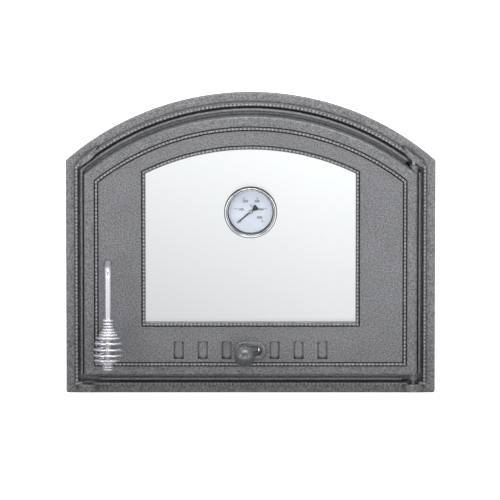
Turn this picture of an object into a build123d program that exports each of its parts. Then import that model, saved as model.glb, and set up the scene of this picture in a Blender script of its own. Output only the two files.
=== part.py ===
from build123d import *
import math
import os

# Arched cast iron oven door in its masonry frame, in millimetres.
# X runs across the front, Z up and Y back into the wall. Heights are measured from
# the flange's lower edge. Depths are the distance in front of the flange's face, so
# a negative depth lies in the wall. At the end every piece is moved, so that the
# origin is the middle of the flange's back face.

# Frame casting
FRAME_WIDTH = 485.0
FRAME_HEIGHT = 410.0
FRAME_ARC = 362.0
FLANGE_THICK = 5.0
FLANGE_CORNER = 3.0
FLAT_WIDTH = 12.0
RIB_HEIGHT = 8.0
RIB_WIDTH = 4.0
RIB_ROUND = 1.6
SEAT_WIDTH = 20.5
SEAT_FLOOR = -5.0
SEAT_THICK = 5.0
COLLAR_INSET = 21.0
COLLAR_WALL = 5.0
COLLAR_DEPTH = 40.0
ANCHOR_BORE = 7.0
ANCHOR_BEHIND_FLANGE = 25.0
ANCHOR_PITCH = 180.0

# Hinge lugs and pins
HINGE_INSET = 28.5
HINGE_DEPTH = 7.0
LUG_RADIUS = 13.5
LUG_WALL = 3.0
LUG_TOP = 14.0
LUG_HEIGHT = 9.5
LUG_FLOOR = 5.0
UPPER_LUG_NEAR = 9.5
PIN_DIAMETER = 7.0
PIN_CLEARANCE = 0.075
PIN_IN_EAR = 9.0
PIN_END_GAP = 0.5
PIN_CHAMFER = 0.5
EAR_RADIUS = 5.5
EAR_HEIGHT = 11.0
EAR_GAP = 6.0

# Door leaf casting
DOOR_GAP = 3.1
DOOR_ARC_STEP = 19.0
RIM_WIDTH = 4.3
RIM_HEIGHT = 8.8
RIM_ROUND = 2.0
LEAF_BACK = 3.0
LEAF_BASE = 3.0
BAND_SIDE_INSET = 23.7
BAND_END_INSET = 27.7
BAND_ARC_STEP = 24.0
BAND_WIDTH = 13.1
BAND_ROUND = 3.5
BAND_FACE = 17.5
PANEL_FACE = 18.0
PANEL_THICK = 6.0
LEAF_WALL = 7.0
GROOVE_WIDTH = 1.5
GROOVE_DEPTH = 2.2
BEAD_RIDGE_WIDTH = 3.2
BEAD_RIDGE_HEIGHT = 0.9
BEAD_RIDGE_SLOPE = 0.72
WINDOW_BEAD_SHIFT = 0.4
SEAL_INSET = 28.5
SEAL_WIDTH = 4.2
SEAL_CLEARANCE = 0.3
UPPER_NOTCH_INSET = 35.5
LOWER_NOTCH_INSET = 44.0
UPPER_NOTCH_DROP = 5.2

# Window and glass
WINDOW_SIDE_INSET = 104.8
WINDOW_BOTTOM = 101.3
WINDOW_TOP_INSET = 72.2
WINDOW_ARC_STEP = 56.0
GLASS_OVERLAP = 10.0
GLASS_THICK = 4.0
GASKET_THICK = 2.0
GASKET_WIDTH = 8.0
CLIP_WIDTH = 14.0
CLIP_THICK = 2.0
CLIP_BITE = 6.0
CLIP_GAP = 1.0
CLIP_BOSS_RADIUS = 6.0
CLIP_SIDE_SHARES = (0.1, 0.48, 0.8)
CLIP_TOP_SHARE = 0.545
SCREW_DIAMETER = 4.0
SCREW_HEAD_FLATS = 7.0
SCREW_HEAD_HEIGHT = 2.8
SCREW_DEPTH = 8.0

# Vents and air slide
VENT_WIDTH = 13.0
VENT_HEIGHT = 25.0
VENT_PITCH = 31.5
VENTS_PER_SIDE = 3
VENT_ROW_Z = 62.7
VENT_CORNER = 1.5
SLIDE_THICK = 2.0
SLIDE_WINDOW_WIDTH = 11.0
SLIDE_HEIGHT = 36.0
SLIDE_END_MARGIN = 12.0
SLIDE_CLEARANCE = 0.3
RAIL_HEIGHT = 7.0
RAIL_LIP = 4.0
RAIL_THICK = 2.0
RAIL_SCREW_HALF_PITCH = 100.0
BOSS_LENGTH = 41.6
BOSS_HEIGHT = 25.0
BOSS_RISE = 2.4
BOSS_ROUND = 1.7
BOSS_Z = 62.7
SLOT_CLEARANCE = 0.5
RECESS_CLEARANCE = 1.4
RECESS_DEPTH = 6.0
KNOB_NECK_DIAMETER = 12.0
KNOB_SHOULDER_DIAMETER = 6.5
KNOB_DIAMETER = 26.0
KNOB_CENTRE_DEPTH = 44.0
KNOB_SCREW_DIAMETER = 4.0
KNOB_SCREW_LENGTH = 16.0
KNOB_WASHER_DIAMETER = 15.0
KNOB_WASHER_THICK = 1.2

# Thermometer
GAUGE_DROP = 85.8
BEZEL_FACE = 20.6
BEZEL_OVERHANG = 2.75
BEZEL_LIP = 1.5
BEZEL_ROLL = 2.0
BEZEL_BACK_GAP = 2.5
BEZEL_EDGE = 1.0
CASE_DIAMETER = 64.0
CASE_WALL = 1.0
CASE_FRONT = 17.0
CASE_CORNER = 2.0
DIAL_THICK = 0.6
DIAL_DEPTH = 14.0
DIAL_CLEARANCE = 0.2
LENS_THICK = 2.0
POINTER_LENGTH = 22.5
POINTER_WIDTH = 1.3
POINTER_TAIL = 10.8
POINTER_TAIL_WIDTH = 7.6
POINTER_HUB_DIAMETER = 5.8
POINTER_THICK = 0.8
POINTER_LIFT = 0.6
POINTER_REST_ANGLE = 220.0
SPINDLE_DIAMETER = 1.6
SPINDLE_TIP = 0.4
STEM_DIAMETER = 8.0
STEM_WALL = 0.8
STEM_LENGTH = 50.0
STEM_CLEARANCE = 1.0
STEM_BASE_HOLE = 2.4
STEM_BASE_THICK = 2.0
STEM_CHAMFER = 1.0
BIMETAL_RADIUS = 2.2
BIMETAL_STRIP = 0.8
BIMETAL_PITCH = 4.0
GAUGE_WASHER_DIAMETER = 24.0
GAUGE_WASHER_THICK = 1.2
GAUGE_NUT_FLATS = 14.0
GAUGE_NUT_HEIGHT = 4.0

# Handle and latch
HANDLE_INSET = 55.2
HANDLE_Z = 183.0
ROD_DIAMETER = 8.0
ROD_REACH = 50.0
ROD_BEND = 10.0
ROD_DROP = 138.0
ROD_CLEARANCE = 0.08
ROD_TAIL = 1.0
GRIP_TOP = 113.4
GRIP_WIRE = 3.2
GRIP_WIRE_SIDES = 6
GRIP_TURN_POINTS = 6
GRIP_TURN_DROPS = (0.0, 4.4, 8.5, 12.5, 16.1, 20.9, 28.8, 37.2, 46.0, 52.6, 57.5, 62.2, 66.5)
GRIP_TURN_RADII = (6.1, 6.1, 6.4, 8.6, 11.0, 14.6, 17.4, 17.9, 17.2, 13.6, 8.6, 6.4, 6.1)
LATCH_BOSS_RADIUS = 10.0
LATCH_BOSS_BACK = -8.2
LATCH_WASHER_DIAMETER = 18.0
LATCH_WASHER_THICK = 1.6
TONGUE_GAP = 0.8
TONGUE_THICK = 5.0
TONGUE_WIDTH = 16.0
TONGUE_CLEARANCE = 2.0
TONGUE_COLLAR_DIAMETER = 14.0
LATCH_NUT_FLATS = 13.0
LATCH_NUT_HEIGHT = 6.5
CONTACT_GAP = 0.05

# How far a cutting block runs past the face that it cuts
OVERCUT = 1.0

# Sizes that follow from the ones above
HALF_WIDTH = FRAME_WIDTH / 2
HALF_HEIGHT = FRAME_HEIGHT / 2
LIP_INSET = FLAT_WIDTH + RIB_WIDTH
MOUTH_INSET = LIP_INSET + SEAT_WIDTH
HINGE_X = HALF_WIDTH - HINGE_INSET
SEAT_BACK = SEAT_FLOOR - SEAT_THICK
COLLAR_BACK = -FLANGE_THICK - COLLAR_DEPTH
DOOR_INSET = LIP_INSET + DOOR_GAP
DOOR_HALF_WIDTH = HALF_WIDTH - DOOR_INSET
DOOR_CROWN = FRAME_HEIGHT - DOOR_INSET
DOOR_ARC = FRAME_ARC - DOOR_ARC_STEP
DOOR_SHOULDER = DOOR_CROWN - DOOR_ARC + math.sqrt(DOOR_ARC ** 2 - DOOR_HALF_WIDTH ** 2)
UPPER_NOTCH_Z = DOOR_SHOULDER - UPPER_NOTCH_DROP
BAND_ARC = FRAME_ARC - BAND_ARC_STEP
BEAD_SIDE_INSET = BAND_SIDE_INSET + BAND_WIDTH + GROOVE_WIDTH + BEAD_RIDGE_WIDTH / 2
PANEL_BACK = PANEL_FACE - PANEL_THICK
SEAL_BACK = SEAT_FLOOR + SEAL_CLEARANCE
WINDOW_HALF_WIDTH = HALF_WIDTH - WINDOW_SIDE_INSET
WINDOW_CROWN = FRAME_HEIGHT - WINDOW_TOP_INSET
WINDOW_ARC = FRAME_ARC - WINDOW_ARC_STEP
GLASS_FRONT = PANEL_BACK - GASKET_THICK
GLASS_BACK = GLASS_FRONT - GLASS_THICK
CLIP_BACK = GLASS_BACK - CLIP_THICK
SLIDE_TRAVEL = VENT_PITCH / 2
SLIDE_FRONT = PANEL_BACK - SLIDE_CLEARANCE
SLIDE_BACK = SLIDE_FRONT - SLIDE_THICK
KNOB_REST_X = -SLIDE_TRAVEL / 2
RECESS_FLOOR = PANEL_FACE + BOSS_RISE - RECESS_DEPTH
SLIDE_LENGTH = 2 * VENTS_PER_SIDE * VENT_PITCH + VENT_WIDTH + 2 * SLIDE_END_MARGIN
RAIL_LENGTH = SLIDE_LENGTH + SLIDE_TRAVEL
GAUGE_Z = WINDOW_CROWN - GAUGE_DROP
BEZEL_DIAMETER = CASE_DIAMETER + 2 * BEZEL_OVERHANG
BEZEL_INNER_DIAMETER = CASE_DIAMETER - 2 * BEZEL_LIP
CASE_BACK = GLASS_FRONT + GAUGE_WASHER_THICK
LENS_BACK = CASE_FRONT + CONTACT_GAP
HANDLE_X = HANDLE_INSET - HALF_WIDTH
TONGUE_LENGTH = HANDLE_INSET - COLLAR_INSET - COLLAR_WALL - TONGUE_CLEARANCE


def arch(half_width, bottom, crown, radius):
    """Flat face in the XZ plane with straight sides and a shallow arched top."""
    shoulder = crown - radius + math.sqrt(radius ** 2 - half_width ** 2)
    points = [(-half_width, shoulder), (-half_width, bottom), (half_width, bottom),
              (half_width, shoulder)]
    outline = Polyline(*points) + ThreePointArc(points[3], (0, crown), points[0])
    return Plane.XZ * make_face(outline)


def frame_arch(inset):
    """The frame's outline, moved in by an equal inset on every side."""
    return arch(HALF_WIDTH - inset, inset, FRAME_HEIGHT - inset, FRAME_ARC - inset)


def door_arch(inset):
    """The door's outline, moved in from the frame's edge on every side."""
    step = inset - DOOR_INSET
    return arch(DOOR_HALF_WIDTH - step, inset, DOOR_CROWN - step, DOOR_ARC - step)


def band_arch(step):
    """The raised band's outer outline, moved in by a step."""
    return arch(HALF_WIDTH - BAND_SIDE_INSET - step, BAND_END_INSET + step,
                FRAME_HEIGHT - BAND_END_INSET - step, BAND_ARC - step)


def window_arch(step):
    """The window opening's outline, moved out by a step."""
    return arch(WINDOW_HALF_WIDTH + step, WINDOW_BOTTOM - step, WINDOW_CROWN + step,
                WINDOW_ARC + step)


def slab(face, back, front):
    """Solid over a face of the XZ plane, between two depths."""
    return extrude(Pos(0, -back, 0) * face, amount=front - back, dir=(0, -1, 0))


def ring(outer, inner, back, front):
    """Solid between two outlines of the XZ plane."""
    return slab(outer, back, front) - slab(inner, back - OVERCUT, front + OVERCUT)


def rod_y(x, z, diameter, back, front):
    """Round bar along Y between two depths."""
    length = front - back
    return Pos(x, -(back + front) / 2, z) * Rot(90, 0, 0) * Cylinder(diameter / 2, length)


def box(x0, x1, back, front, z0, z1):
    """Block between two places on each axis, with depths for Y."""
    middle = Pos((x0 + x1) / 2, -(back + front) / 2, (z0 + z1) / 2)
    return middle * Box(x1 - x0, front - back, z1 - z0)


def upright(x, depth, diameter, z0, z1):
    """Round bar along Z between two heights."""
    return Pos(x, -depth, (z0 + z1) / 2) * Cylinder(diameter / 2, z1 - z0)


def edges_at_depth(solid, depth):
    """The edges of a solid that lie wholly at one depth."""
    return solid.edges().filter_by_position(Axis.Y, -depth - 0.01, -depth + 0.01)


def soften(solid, depth, radius):
    """Round every edge of a solid that lies at one depth."""
    return fillet(edges_at_depth(solid, depth), radius)


def hex_prism(x, z, flats, back, front):
    """Hexagon bar along Y between two depths."""
    face = RegularPolygon(flats / 2, 6, major_radius=False)
    return slab(Plane.XZ * Pos(x, z) * face, back, front)


def hex_nut(x, z, flats, bore, back, front):
    """Hexagon nut along Y."""
    cut = rod_y(x, z, bore, back - OVERCUT, front + OVERCUT)
    return hex_prism(x, z, flats, back, front) - cut


def lug_z_range(upper, x):
    """Lowest and highest point of a hinge lug at a place across the frame."""
    if not upper:
        return LUG_TOP - LUG_HEIGHT, LUG_TOP
    centre = FRAME_HEIGHT - FRAME_ARC
    return tuple(centre + math.sqrt((FRAME_ARC - inset) ** 2 - x ** 2)
                 for inset in (LIP_INSET, UPPER_LUG_NEAR))


def lug_span(upper):
    """The slice of the frame's height that a pair of lugs takes up."""
    if upper:
        return ring(frame_arch(UPPER_LUG_NEAR), frame_arch(LIP_INSET), -OVERCUT, LUG_RADIUS + OVERCUT)
    return box(-HALF_WIDTH, HALF_WIDTH, -OVERCUT, LUG_RADIUS + OVERCUT,
               LUG_TOP - LUG_HEIGHT, LUG_TOP)


def lug_pair(upper):
    """Half-round hinge lugs at one end of the frame, before they are hollowed."""
    low, high = (HALF_HEIGHT, FRAME_HEIGHT) if upper else (0, HALF_HEIGHT)
    rounds = [upright(side * HINGE_X, 0, 2 * LUG_RADIUS, low, high) for side in (-1, 1)]
    front = box(-HALF_WIDTH, HALF_WIDTH, -FLANGE_THICK / 2, LUG_RADIUS + OVERCUT, low, high)
    return [shape & front & lug_span(upper) for shape in rounds]


def lug_hollow(upper, side):
    """The pocket of one lug and the bearing bore in its floor."""
    low, high = lug_z_range(upper, HINGE_X)
    pocket_radius = LUG_RADIUS - LUG_WALL
    bore = PIN_DIAMETER + 2 * PIN_CLEARANCE
    if upper:
        pocket = upright(side * HINGE_X, 0, 2 * pocket_radius, low - LUG_RADIUS, high - LUG_FLOOR)
        hole = upright(side * HINGE_X, HINGE_DEPTH, bore, low - OVERCUT, high + LUG_WALL)
    else:
        pocket = upright(side * HINGE_X, 0, 2 * pocket_radius, low + LUG_FLOOR,
                         max(high, LIP_INSET) + OVERCUT)
        hole = upright(side * HINGE_X, HINGE_DEPTH, bore, low - OVERCUT, high + OVERCUT)
    reach = box(-HALF_WIDTH, HALF_WIDTH, 0, LUG_RADIUS, 0, FRAME_HEIGHT)
    return (pocket & reach) + hole


def make_frame():
    """Flange, bead rib, seat, collar and hinge lugs as one casting."""
    flange = ring(frame_arch(0), frame_arch(LIP_INSET), -FLANGE_THICK, 0)
    corners = flange.edges().filter_by(Axis.Y).group_by(Axis.X)
    flange = fillet(corners[0] + corners[-1], FLANGE_CORNER)
    rib = ring(frame_arch(FLAT_WIDTH), frame_arch(LIP_INSET), -FLANGE_THICK, RIB_HEIGHT)
    rib = soften(rib, RIB_HEIGHT, RIB_ROUND)
    seat = ring(frame_arch(FLAT_WIDTH), frame_arch(MOUTH_INSET), SEAT_BACK, SEAT_FLOOR)
    collar_inner = frame_arch(COLLAR_INSET + COLLAR_WALL)
    collar = ring(frame_arch(COLLAR_INSET), collar_inner, COLLAR_BACK, SEAT_FLOOR)
    body = flange + rib + seat + collar
    for upper in (False, True):
        for lug in lug_pair(upper):
            body += lug
        for side in (-1, 1):
            body -= lug_hollow(upper, side)
    anchor_depth = -FLANGE_THICK - ANCHOR_BEHIND_FLANGE
    for side in (-1, 1):
        for step in (-0.5, 0.5):
            z = side_middle() + step * ANCHOR_PITCH
            hole = Rot(0, 90, 0) * Cylinder(ANCHOR_BORE / 2, 3 * COLLAR_WALL)
            x = side * (HALF_WIDTH - COLLAR_INSET - COLLAR_WALL / 2)
            body -= Pos(x, -anchor_depth, z) * hole
    return body


def side_middle():
    """Height of the middle of the frame's straight side."""
    shoulder = FRAME_HEIGHT - FRAME_ARC + math.sqrt(FRAME_ARC ** 2 - HALF_WIDTH ** 2)
    return shoulder / 2


def bead_ridge(outline, depth):
    """Low half-round ridge that carries a row of beads."""
    outer = outline(BEAD_RIDGE_WIDTH / 2)
    inner = outline(-BEAD_RIDGE_WIDTH / 2)
    top = depth + BEAD_RIDGE_HEIGHT
    ridge = ring(outer, inner, depth - OVERCUT, top)
    return chamfer(edges_at_depth(ridge, top), BEAD_RIDGE_SLOPE)


def panel_bead(step):
    """Line of the panel's bead row, moved out by a step."""
    return band_arch(BEAD_SIDE_INSET - BAND_SIDE_INSET - step)


def window_bead(step):
    """Line of the window's bead row, moved out by a step."""
    return window_arch(GROOVE_WIDTH + BEAD_RIDGE_WIDTH / 2 - WINDOW_BEAD_SHIFT + step)


def groove(outline, step):
    """Ring to cut a narrow groove whose middle lies at a step from an outline."""
    outer = outline(step + GROOVE_WIDTH / 2)
    inner = outline(step - GROOVE_WIDTH / 2)
    return ring(outer, inner, PANEL_FACE - GROOVE_DEPTH, PANEL_FACE + OVERCUT)


def vent_places():
    """Middles of the vents, counted outwards from the knob."""
    return [side * (count + 1) * VENT_PITCH for side in (-1, 1) for count in range(VENTS_PER_SIDE)]


def vent_hole(x, width, back, front):
    """One upright vent window as a cutting block."""
    face = RectangleRounded(width, VENT_HEIGHT, VENT_CORNER)
    return slab(Plane.XZ * Pos(x, VENT_ROW_Z) * face, back, front)


def oblong(length, height, back, front):
    """Block with round ends, centred on the knob boss."""
    face = SlotOverall(length, height)
    return slab(Plane.XZ * Pos(0, BOSS_Z) * face, back, front)


def clip_places():
    """Middle of each glass clip's outer end, with the way that it points."""
    reach = GLASS_OVERLAP + CLIP_BOSS_RADIUS + CLIP_GAP
    side_x = WINDOW_HALF_WIDTH + reach
    rows = [WINDOW_BOTTOM + share * (WINDOW_CROWN - WINDOW_BOTTOM) for share in CLIP_SIDE_SHARES]
    places = [(side * side_x, z, -side, 0) for side in (-1, 1) for z in rows]
    top_x = CLIP_TOP_SHARE * WINDOW_HALF_WIDTH
    top_z = WINDOW_CROWN - WINDOW_ARC + math.sqrt((WINDOW_ARC + reach) ** 2 - top_x ** 2)
    places += [(side * top_x, top_z, 0, -1) for side in (-1, 1)]
    return places


def rail_rows():
    """Height of each slide rail's middle, with the way to the slide."""
    offset = SLIDE_HEIGHT / 2 + SLIDE_CLEARANCE + RAIL_HEIGHT / 2
    return {"lower": (VENT_ROW_Z - offset, 1), "upper": (VENT_ROW_Z + offset, -1)}


def ear(z0, z1):
    """Hinge ear that stands on the leaf's wall and holds one pin."""
    knuckle = upright(HINGE_X, HINGE_DEPTH, 2 * EAR_RADIUS, z0, z1)
    root = box(HINGE_X - EAR_RADIUS, HINGE_X + EAR_RADIUS / 2, LEAF_BACK, HINGE_DEPTH, z0, z1)
    return knuckle + root


def ear_heights():
    """Height range of the lower and the upper ear."""
    lower = LUG_TOP + EAR_GAP
    upper = lug_z_range(True, HINGE_X)[0] - EAR_GAP
    return (lower, lower + EAR_HEIGHT), (upper - EAR_HEIGHT, upper)


def pin_heights():
    """Height range of the lower and the upper pin."""
    (lower_ear, _), (_, upper_ear) = ear_heights()
    lower = (lug_z_range(False, HINGE_X)[0] + PIN_END_GAP, lower_ear + PIN_IN_EAR)
    upper = (upper_ear - PIN_IN_EAR, lug_z_range(True, HINGE_X)[1] - PIN_END_GAP)
    return lower, upper


def make_leaf_shell():
    """Base flange, rim moulding, raised band, panel and sealing lip."""
    base = slab(door_arch(DOOR_INSET), LEAF_BACK, LEAF_BACK + LEAF_BASE)
    rim = ring(door_arch(DOOR_INSET), door_arch(DOOR_INSET + RIM_WIDTH), LEAF_BACK, RIM_HEIGHT)
    rim = soften(rim, RIM_HEIGHT, RIM_ROUND)
    raised = soften(slab(band_arch(0), LEAF_BACK, BAND_FACE), BAND_FACE, BAND_ROUND)
    panel_line = BEAD_SIDE_INSET - BAND_SIDE_INSET - BEAD_RIDGE_WIDTH / 2
    panel = slab(band_arch(panel_line), PANEL_BACK, PANEL_FACE)
    lip = slab(door_arch(SEAL_INSET), SEAL_BACK, LEAF_BACK + LEAF_BASE)
    flange = base + rim
    for cut in corner_notches():
        flange -= cut
    shell = flange + raised + panel + lip
    shell -= slab(door_arch(SEAL_INSET + SEAL_WIDTH), SEAL_BACK - OVERCUT, LEAF_BACK + LEAF_BASE)
    return shell - slab(band_arch(LEAF_WALL), 0, PANEL_BACK)


def corner_notches():
    """Cuts that free the lugs: both lower corners and the hinged upper one."""
    far = HALF_WIDTH - DOOR_INSET + OVERCUT
    low = [box(*sorted((side * (HALF_WIDTH - LOWER_NOTCH_INSET), side * far)),
               LEAF_BACK - OVERCUT, RIM_HEIGHT + OVERCUT, DOOR_INSET - OVERCUT,
               BAND_END_INSET) for side in (-1, 1)]
    turn = math.degrees(math.asin((HALF_WIDTH - UPPER_NOTCH_INSET) / DOOR_ARC))
    sector = box(0, FRAME_HEIGHT, LEAF_BACK - OVERCUT, RIM_HEIGHT + OVERCUT, 0, FRAME_HEIGHT)
    sector = Pos(0, 0, DOOR_CROWN - DOOR_ARC) * Rot(0, turn, 0) * sector
    high = box(0, far, LEAF_BACK - OVERCUT, RIM_HEIGHT + OVERCUT, UPPER_NOTCH_Z, FRAME_HEIGHT)
    return low + [sector & high]


def make_door_leaf():
    """The door casting with its window, vents, knob boss and ears."""
    leaf = make_leaf_shell()
    leaf -= groove(panel_bead, BEAD_RIDGE_WIDTH / 2 + GROOVE_WIDTH / 2)
    leaf -= groove(panel_bead, -BEAD_RIDGE_WIDTH / 2 - GROOVE_WIDTH / 2)
    leaf -= groove(window_bead, BEAD_RIDGE_WIDTH / 2 + GROOVE_WIDTH / 2)
    leaf += bead_ridge(panel_bead, PANEL_FACE)
    leaf += bead_ridge(window_bead, PANEL_FACE)
    boss = oblong(BOSS_LENGTH, BOSS_HEIGHT, PANEL_BACK, PANEL_FACE + BOSS_RISE)
    leaf += soften(boss, PANEL_FACE + BOSS_RISE, BOSS_ROUND)
    leaf -= slab(window_arch(0), PANEL_BACK - OVERCUT, PANEL_FACE + OVERCUT)
    for x, z, _, _ in clip_places():
        leaf += rod_y(x, z, 2 * CLIP_BOSS_RADIUS, GLASS_BACK, PANEL_BACK + OVERCUT)
        leaf -= rod_y(x, z, SCREW_DIAMETER, GLASS_BACK - OVERCUT, CLIP_BACK + SCREW_DEPTH)
    for (low, high) in ear_heights():
        leaf += ear(low, high)
    for (low, high) in pin_heights():
        leaf -= upright(HINGE_X, HINGE_DEPTH, PIN_DIAMETER, low, high)
    leaf += rod_y(HANDLE_X, HANDLE_Z, 2 * LATCH_BOSS_RADIUS, LATCH_BOSS_BACK, PANEL_BACK + OVERCUT)
    leaf -= rod_y(HANDLE_X, HANDLE_Z, ROD_DIAMETER + 2 * ROD_CLEARANCE, LATCH_BOSS_BACK - OVERCUT,
                  PANEL_FACE + OVERCUT)
    for x in vent_places():
        leaf -= vent_hole(x, VENT_WIDTH, PANEL_BACK - OVERCUT, PANEL_FACE + OVERCUT)
    slot = KNOB_SHOULDER_DIAMETER + 2 * SLOT_CLEARANCE
    recess = KNOB_NECK_DIAMETER + 2 * RECESS_CLEARANCE
    leaf -= oblong(slot + SLIDE_TRAVEL, slot, PANEL_BACK - OVERCUT, RECESS_FLOOR + OVERCUT)
    leaf -= oblong(recess + SLIDE_TRAVEL, recess, RECESS_FLOOR, PANEL_FACE + BOSS_RISE + OVERCUT)
    for z, _ in rail_rows().values():
        for side in (-1, 1):
            leaf -= rod_y(side * RAIL_SCREW_HALF_PITCH, z, SCREW_DIAMETER, PANEL_BACK - OVERCUT,
                          rail_back() + SCREW_DEPTH)
    return leaf


def rail_back():
    """Depth of the back face of the slide rails."""
    return SLIDE_BACK - SLIDE_CLEARANCE - RAIL_THICK


def make_hinge_pins():
    """Two steel pins pressed into the leaf's ears."""
    pins = []
    for low, high in pin_heights():
        pin = upright(HINGE_X, HINGE_DEPTH, PIN_DIAMETER, low, high)
        pins.append(chamfer(pin.edges().filter_by(GeomType.CIRCLE), PIN_CHAMFER))
    return pins


def make_glass():
    """Toughened pane with the hole for the gauge's stem."""
    pane = slab(window_arch(GLASS_OVERLAP), GLASS_BACK, GLASS_FRONT)
    hole = STEM_DIAMETER + 2 * STEM_CLEARANCE
    return pane - rod_y(0, GAUGE_Z, hole, GLASS_BACK - OVERCUT, GLASS_FRONT + OVERCUT)


def make_gasket():
    """Flat ring between the glass and the casting."""
    outer = window_arch(GLASS_OVERLAP)
    inner = window_arch(GLASS_OVERLAP - GASKET_WIDTH)
    return ring(outer, inner, GLASS_FRONT, PANEL_BACK)


def make_clips():
    """Flat spring clips that press the pane against its gasket."""
    clips = []
    for x, z, to_x, to_z in clip_places():
        reach = CLIP_BITE + CLIP_BOSS_RADIUS + CLIP_GAP
        start = Vector(x - to_x * CLIP_BOSS_RADIUS, z - to_z * CLIP_BOSS_RADIUS)
        end = Vector(x + to_x * reach, z + to_z * reach)
        middle = (start + end) / 2
        length = (end - start).length
        size = (length, CLIP_WIDTH) if to_x else (CLIP_WIDTH, length)
        face = Rectangle(*size)
        clip = slab(Plane.XZ * Pos(middle.X, middle.Y) * face, CLIP_BACK, GLASS_BACK)
        clips.append(clip - rod_y(x, z, SCREW_DIAMETER, CLIP_BACK - OVERCUT, GLASS_BACK + OVERCUT))
    return clips


def screw(x, z, seat, tip):
    """Hexagon-headed screw whose head bears on a seat and whose tip points forward."""
    head = hex_prism(x, z, SCREW_HEAD_FLATS, seat - SCREW_HEAD_HEIGHT, seat)
    return head + rod_y(x, z, SCREW_DIAMETER, seat, tip)


def make_clip_screws():
    """One screw through each glass clip."""
    return [screw(x, z, CLIP_BACK, CLIP_BACK + SCREW_DEPTH) for x, z, _, _ in clip_places()]


def make_slide():
    """Air slide plate, shut at rest, with the hole for the knob's screw."""
    plate = box(KNOB_REST_X - SLIDE_LENGTH / 2, KNOB_REST_X + SLIDE_LENGTH / 2, SLIDE_BACK,
                SLIDE_FRONT, VENT_ROW_Z - SLIDE_HEIGHT / 2, VENT_ROW_Z + SLIDE_HEIGHT / 2)
    for x in vent_places():
        middle = x - SLIDE_TRAVEL
        plate -= box(middle - SLIDE_WINDOW_WIDTH / 2, middle + SLIDE_WINDOW_WIDTH / 2,
                     SLIDE_BACK - OVERCUT, SLIDE_FRONT + OVERCUT,
                     VENT_ROW_Z - VENT_HEIGHT / 2, VENT_ROW_Z + VENT_HEIGHT / 2)
    hole = rod_y(KNOB_REST_X, BOSS_Z, KNOB_SCREW_DIAMETER, SLIDE_BACK - OVERCUT, SLIDE_FRONT + OVERCUT)
    return plate - hole


def make_rail(row):
    """Stepped rail that lets the slide plate run against the panel."""
    z, way = rail_rows()[row]
    foot = box(-RAIL_LENGTH / 2, RAIL_LENGTH / 2, rail_back(), PANEL_BACK,
               z - RAIL_HEIGHT / 2, z + RAIL_HEIGHT / 2)
    lip_ends = sorted((z + way * RAIL_HEIGHT / 2, z + way * (RAIL_HEIGHT / 2 + RAIL_LIP)))
    lip = box(-RAIL_LENGTH / 2, RAIL_LENGTH / 2, rail_back(), rail_back() + RAIL_THICK, *lip_ends)
    rail = foot + lip
    for side in (-1, 1):
        rail -= rod_y(side * RAIL_SCREW_HALF_PITCH, z, SCREW_DIAMETER, rail_back() - OVERCUT,
                      PANEL_BACK + OVERCUT)
    return rail


def make_rail_screws():
    """Two screws in each rail."""
    return [screw(side * RAIL_SCREW_HALF_PITCH, z, rail_back(), rail_back() + SCREW_DEPTH)
            for z, _ in rail_rows().values() for side in (-1, 1)]


def make_knob():
    """Cast ball with a waisted neck, turned about the slide's screw."""
    neck = KNOB_NECK_DIAMETER / 2
    shoulder = KNOB_SHOULDER_DIAMETER / 2
    ball = KNOB_DIAMETER / 2
    base = RECESS_FLOOR + SLIDE_CLEARANCE
    meet = KNOB_CENTRE_DEPTH - math.sqrt(ball ** 2 - neck ** 2)
    nose = KNOB_CENTRE_DEPTH + ball
    profile = Polyline((0, nose), (0, SLIDE_FRONT), (shoulder, SLIDE_FRONT), (shoulder, base),
                       (neck, base), (neck, meet))
    profile += ThreePointArc((neck, meet), (ball, KNOB_CENTRE_DEPTH), (0, nose))
    turned = revolve(Plane.XY * make_face(profile), Axis.Y)
    knob = Pos(KNOB_REST_X, 0, BOSS_Z) * Rot(0, 0, 180) * turned
    tip = SLIDE_BACK - KNOB_WASHER_THICK + KNOB_SCREW_LENGTH
    return knob - rod_y(KNOB_REST_X, BOSS_Z, KNOB_SCREW_DIAMETER, SLIDE_FRONT - OVERCUT, tip)


def make_knob_washer():
    """Flat washer between the knob's screw and the slide plate."""
    back = SLIDE_BACK - KNOB_WASHER_THICK
    disc = rod_y(KNOB_REST_X, BOSS_Z, KNOB_WASHER_DIAMETER, back, SLIDE_BACK)
    return disc - rod_y(KNOB_REST_X, BOSS_Z, KNOB_SCREW_DIAMETER, back - OVERCUT, SLIDE_BACK + OVERCUT)


def make_knob_screw():
    """Screw that holds the knob to the slide plate."""
    seat = SLIDE_BACK - KNOB_WASHER_THICK
    head = hex_prism(KNOB_REST_X, BOSS_Z, SCREW_HEAD_FLATS, seat - SCREW_HEAD_HEIGHT, seat)
    return head + rod_y(KNOB_REST_X, BOSS_Z, KNOB_SCREW_DIAMETER, seat, seat + KNOB_SCREW_LENGTH)


def turned_gauge(points):
    """Solid of revolution about the gauge's axis, from radius and depth pairs."""
    face = make_face(Polyline(*points, close=True))
    turned = revolve(Plane.XY * face, Axis.Y)
    return Pos(0, 0, GAUGE_Z) * Rot(0, 0, 180) * turned


def make_gauge_case():
    """Pressed dish that holds the dial, with a neck hole for the spindle."""
    outer = CASE_DIAMETER / 2
    inner = outer - CASE_WALL
    hole = STEM_BASE_HOLE / 2
    floor = CASE_BACK + CASE_WALL
    return turned_gauge([(hole, CASE_BACK), (outer - CASE_CORNER, CASE_BACK),
                         (outer, CASE_BACK + CASE_CORNER), (outer, CASE_FRONT),
                         (inner, CASE_FRONT), (inner, floor), (hole, floor)])


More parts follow.
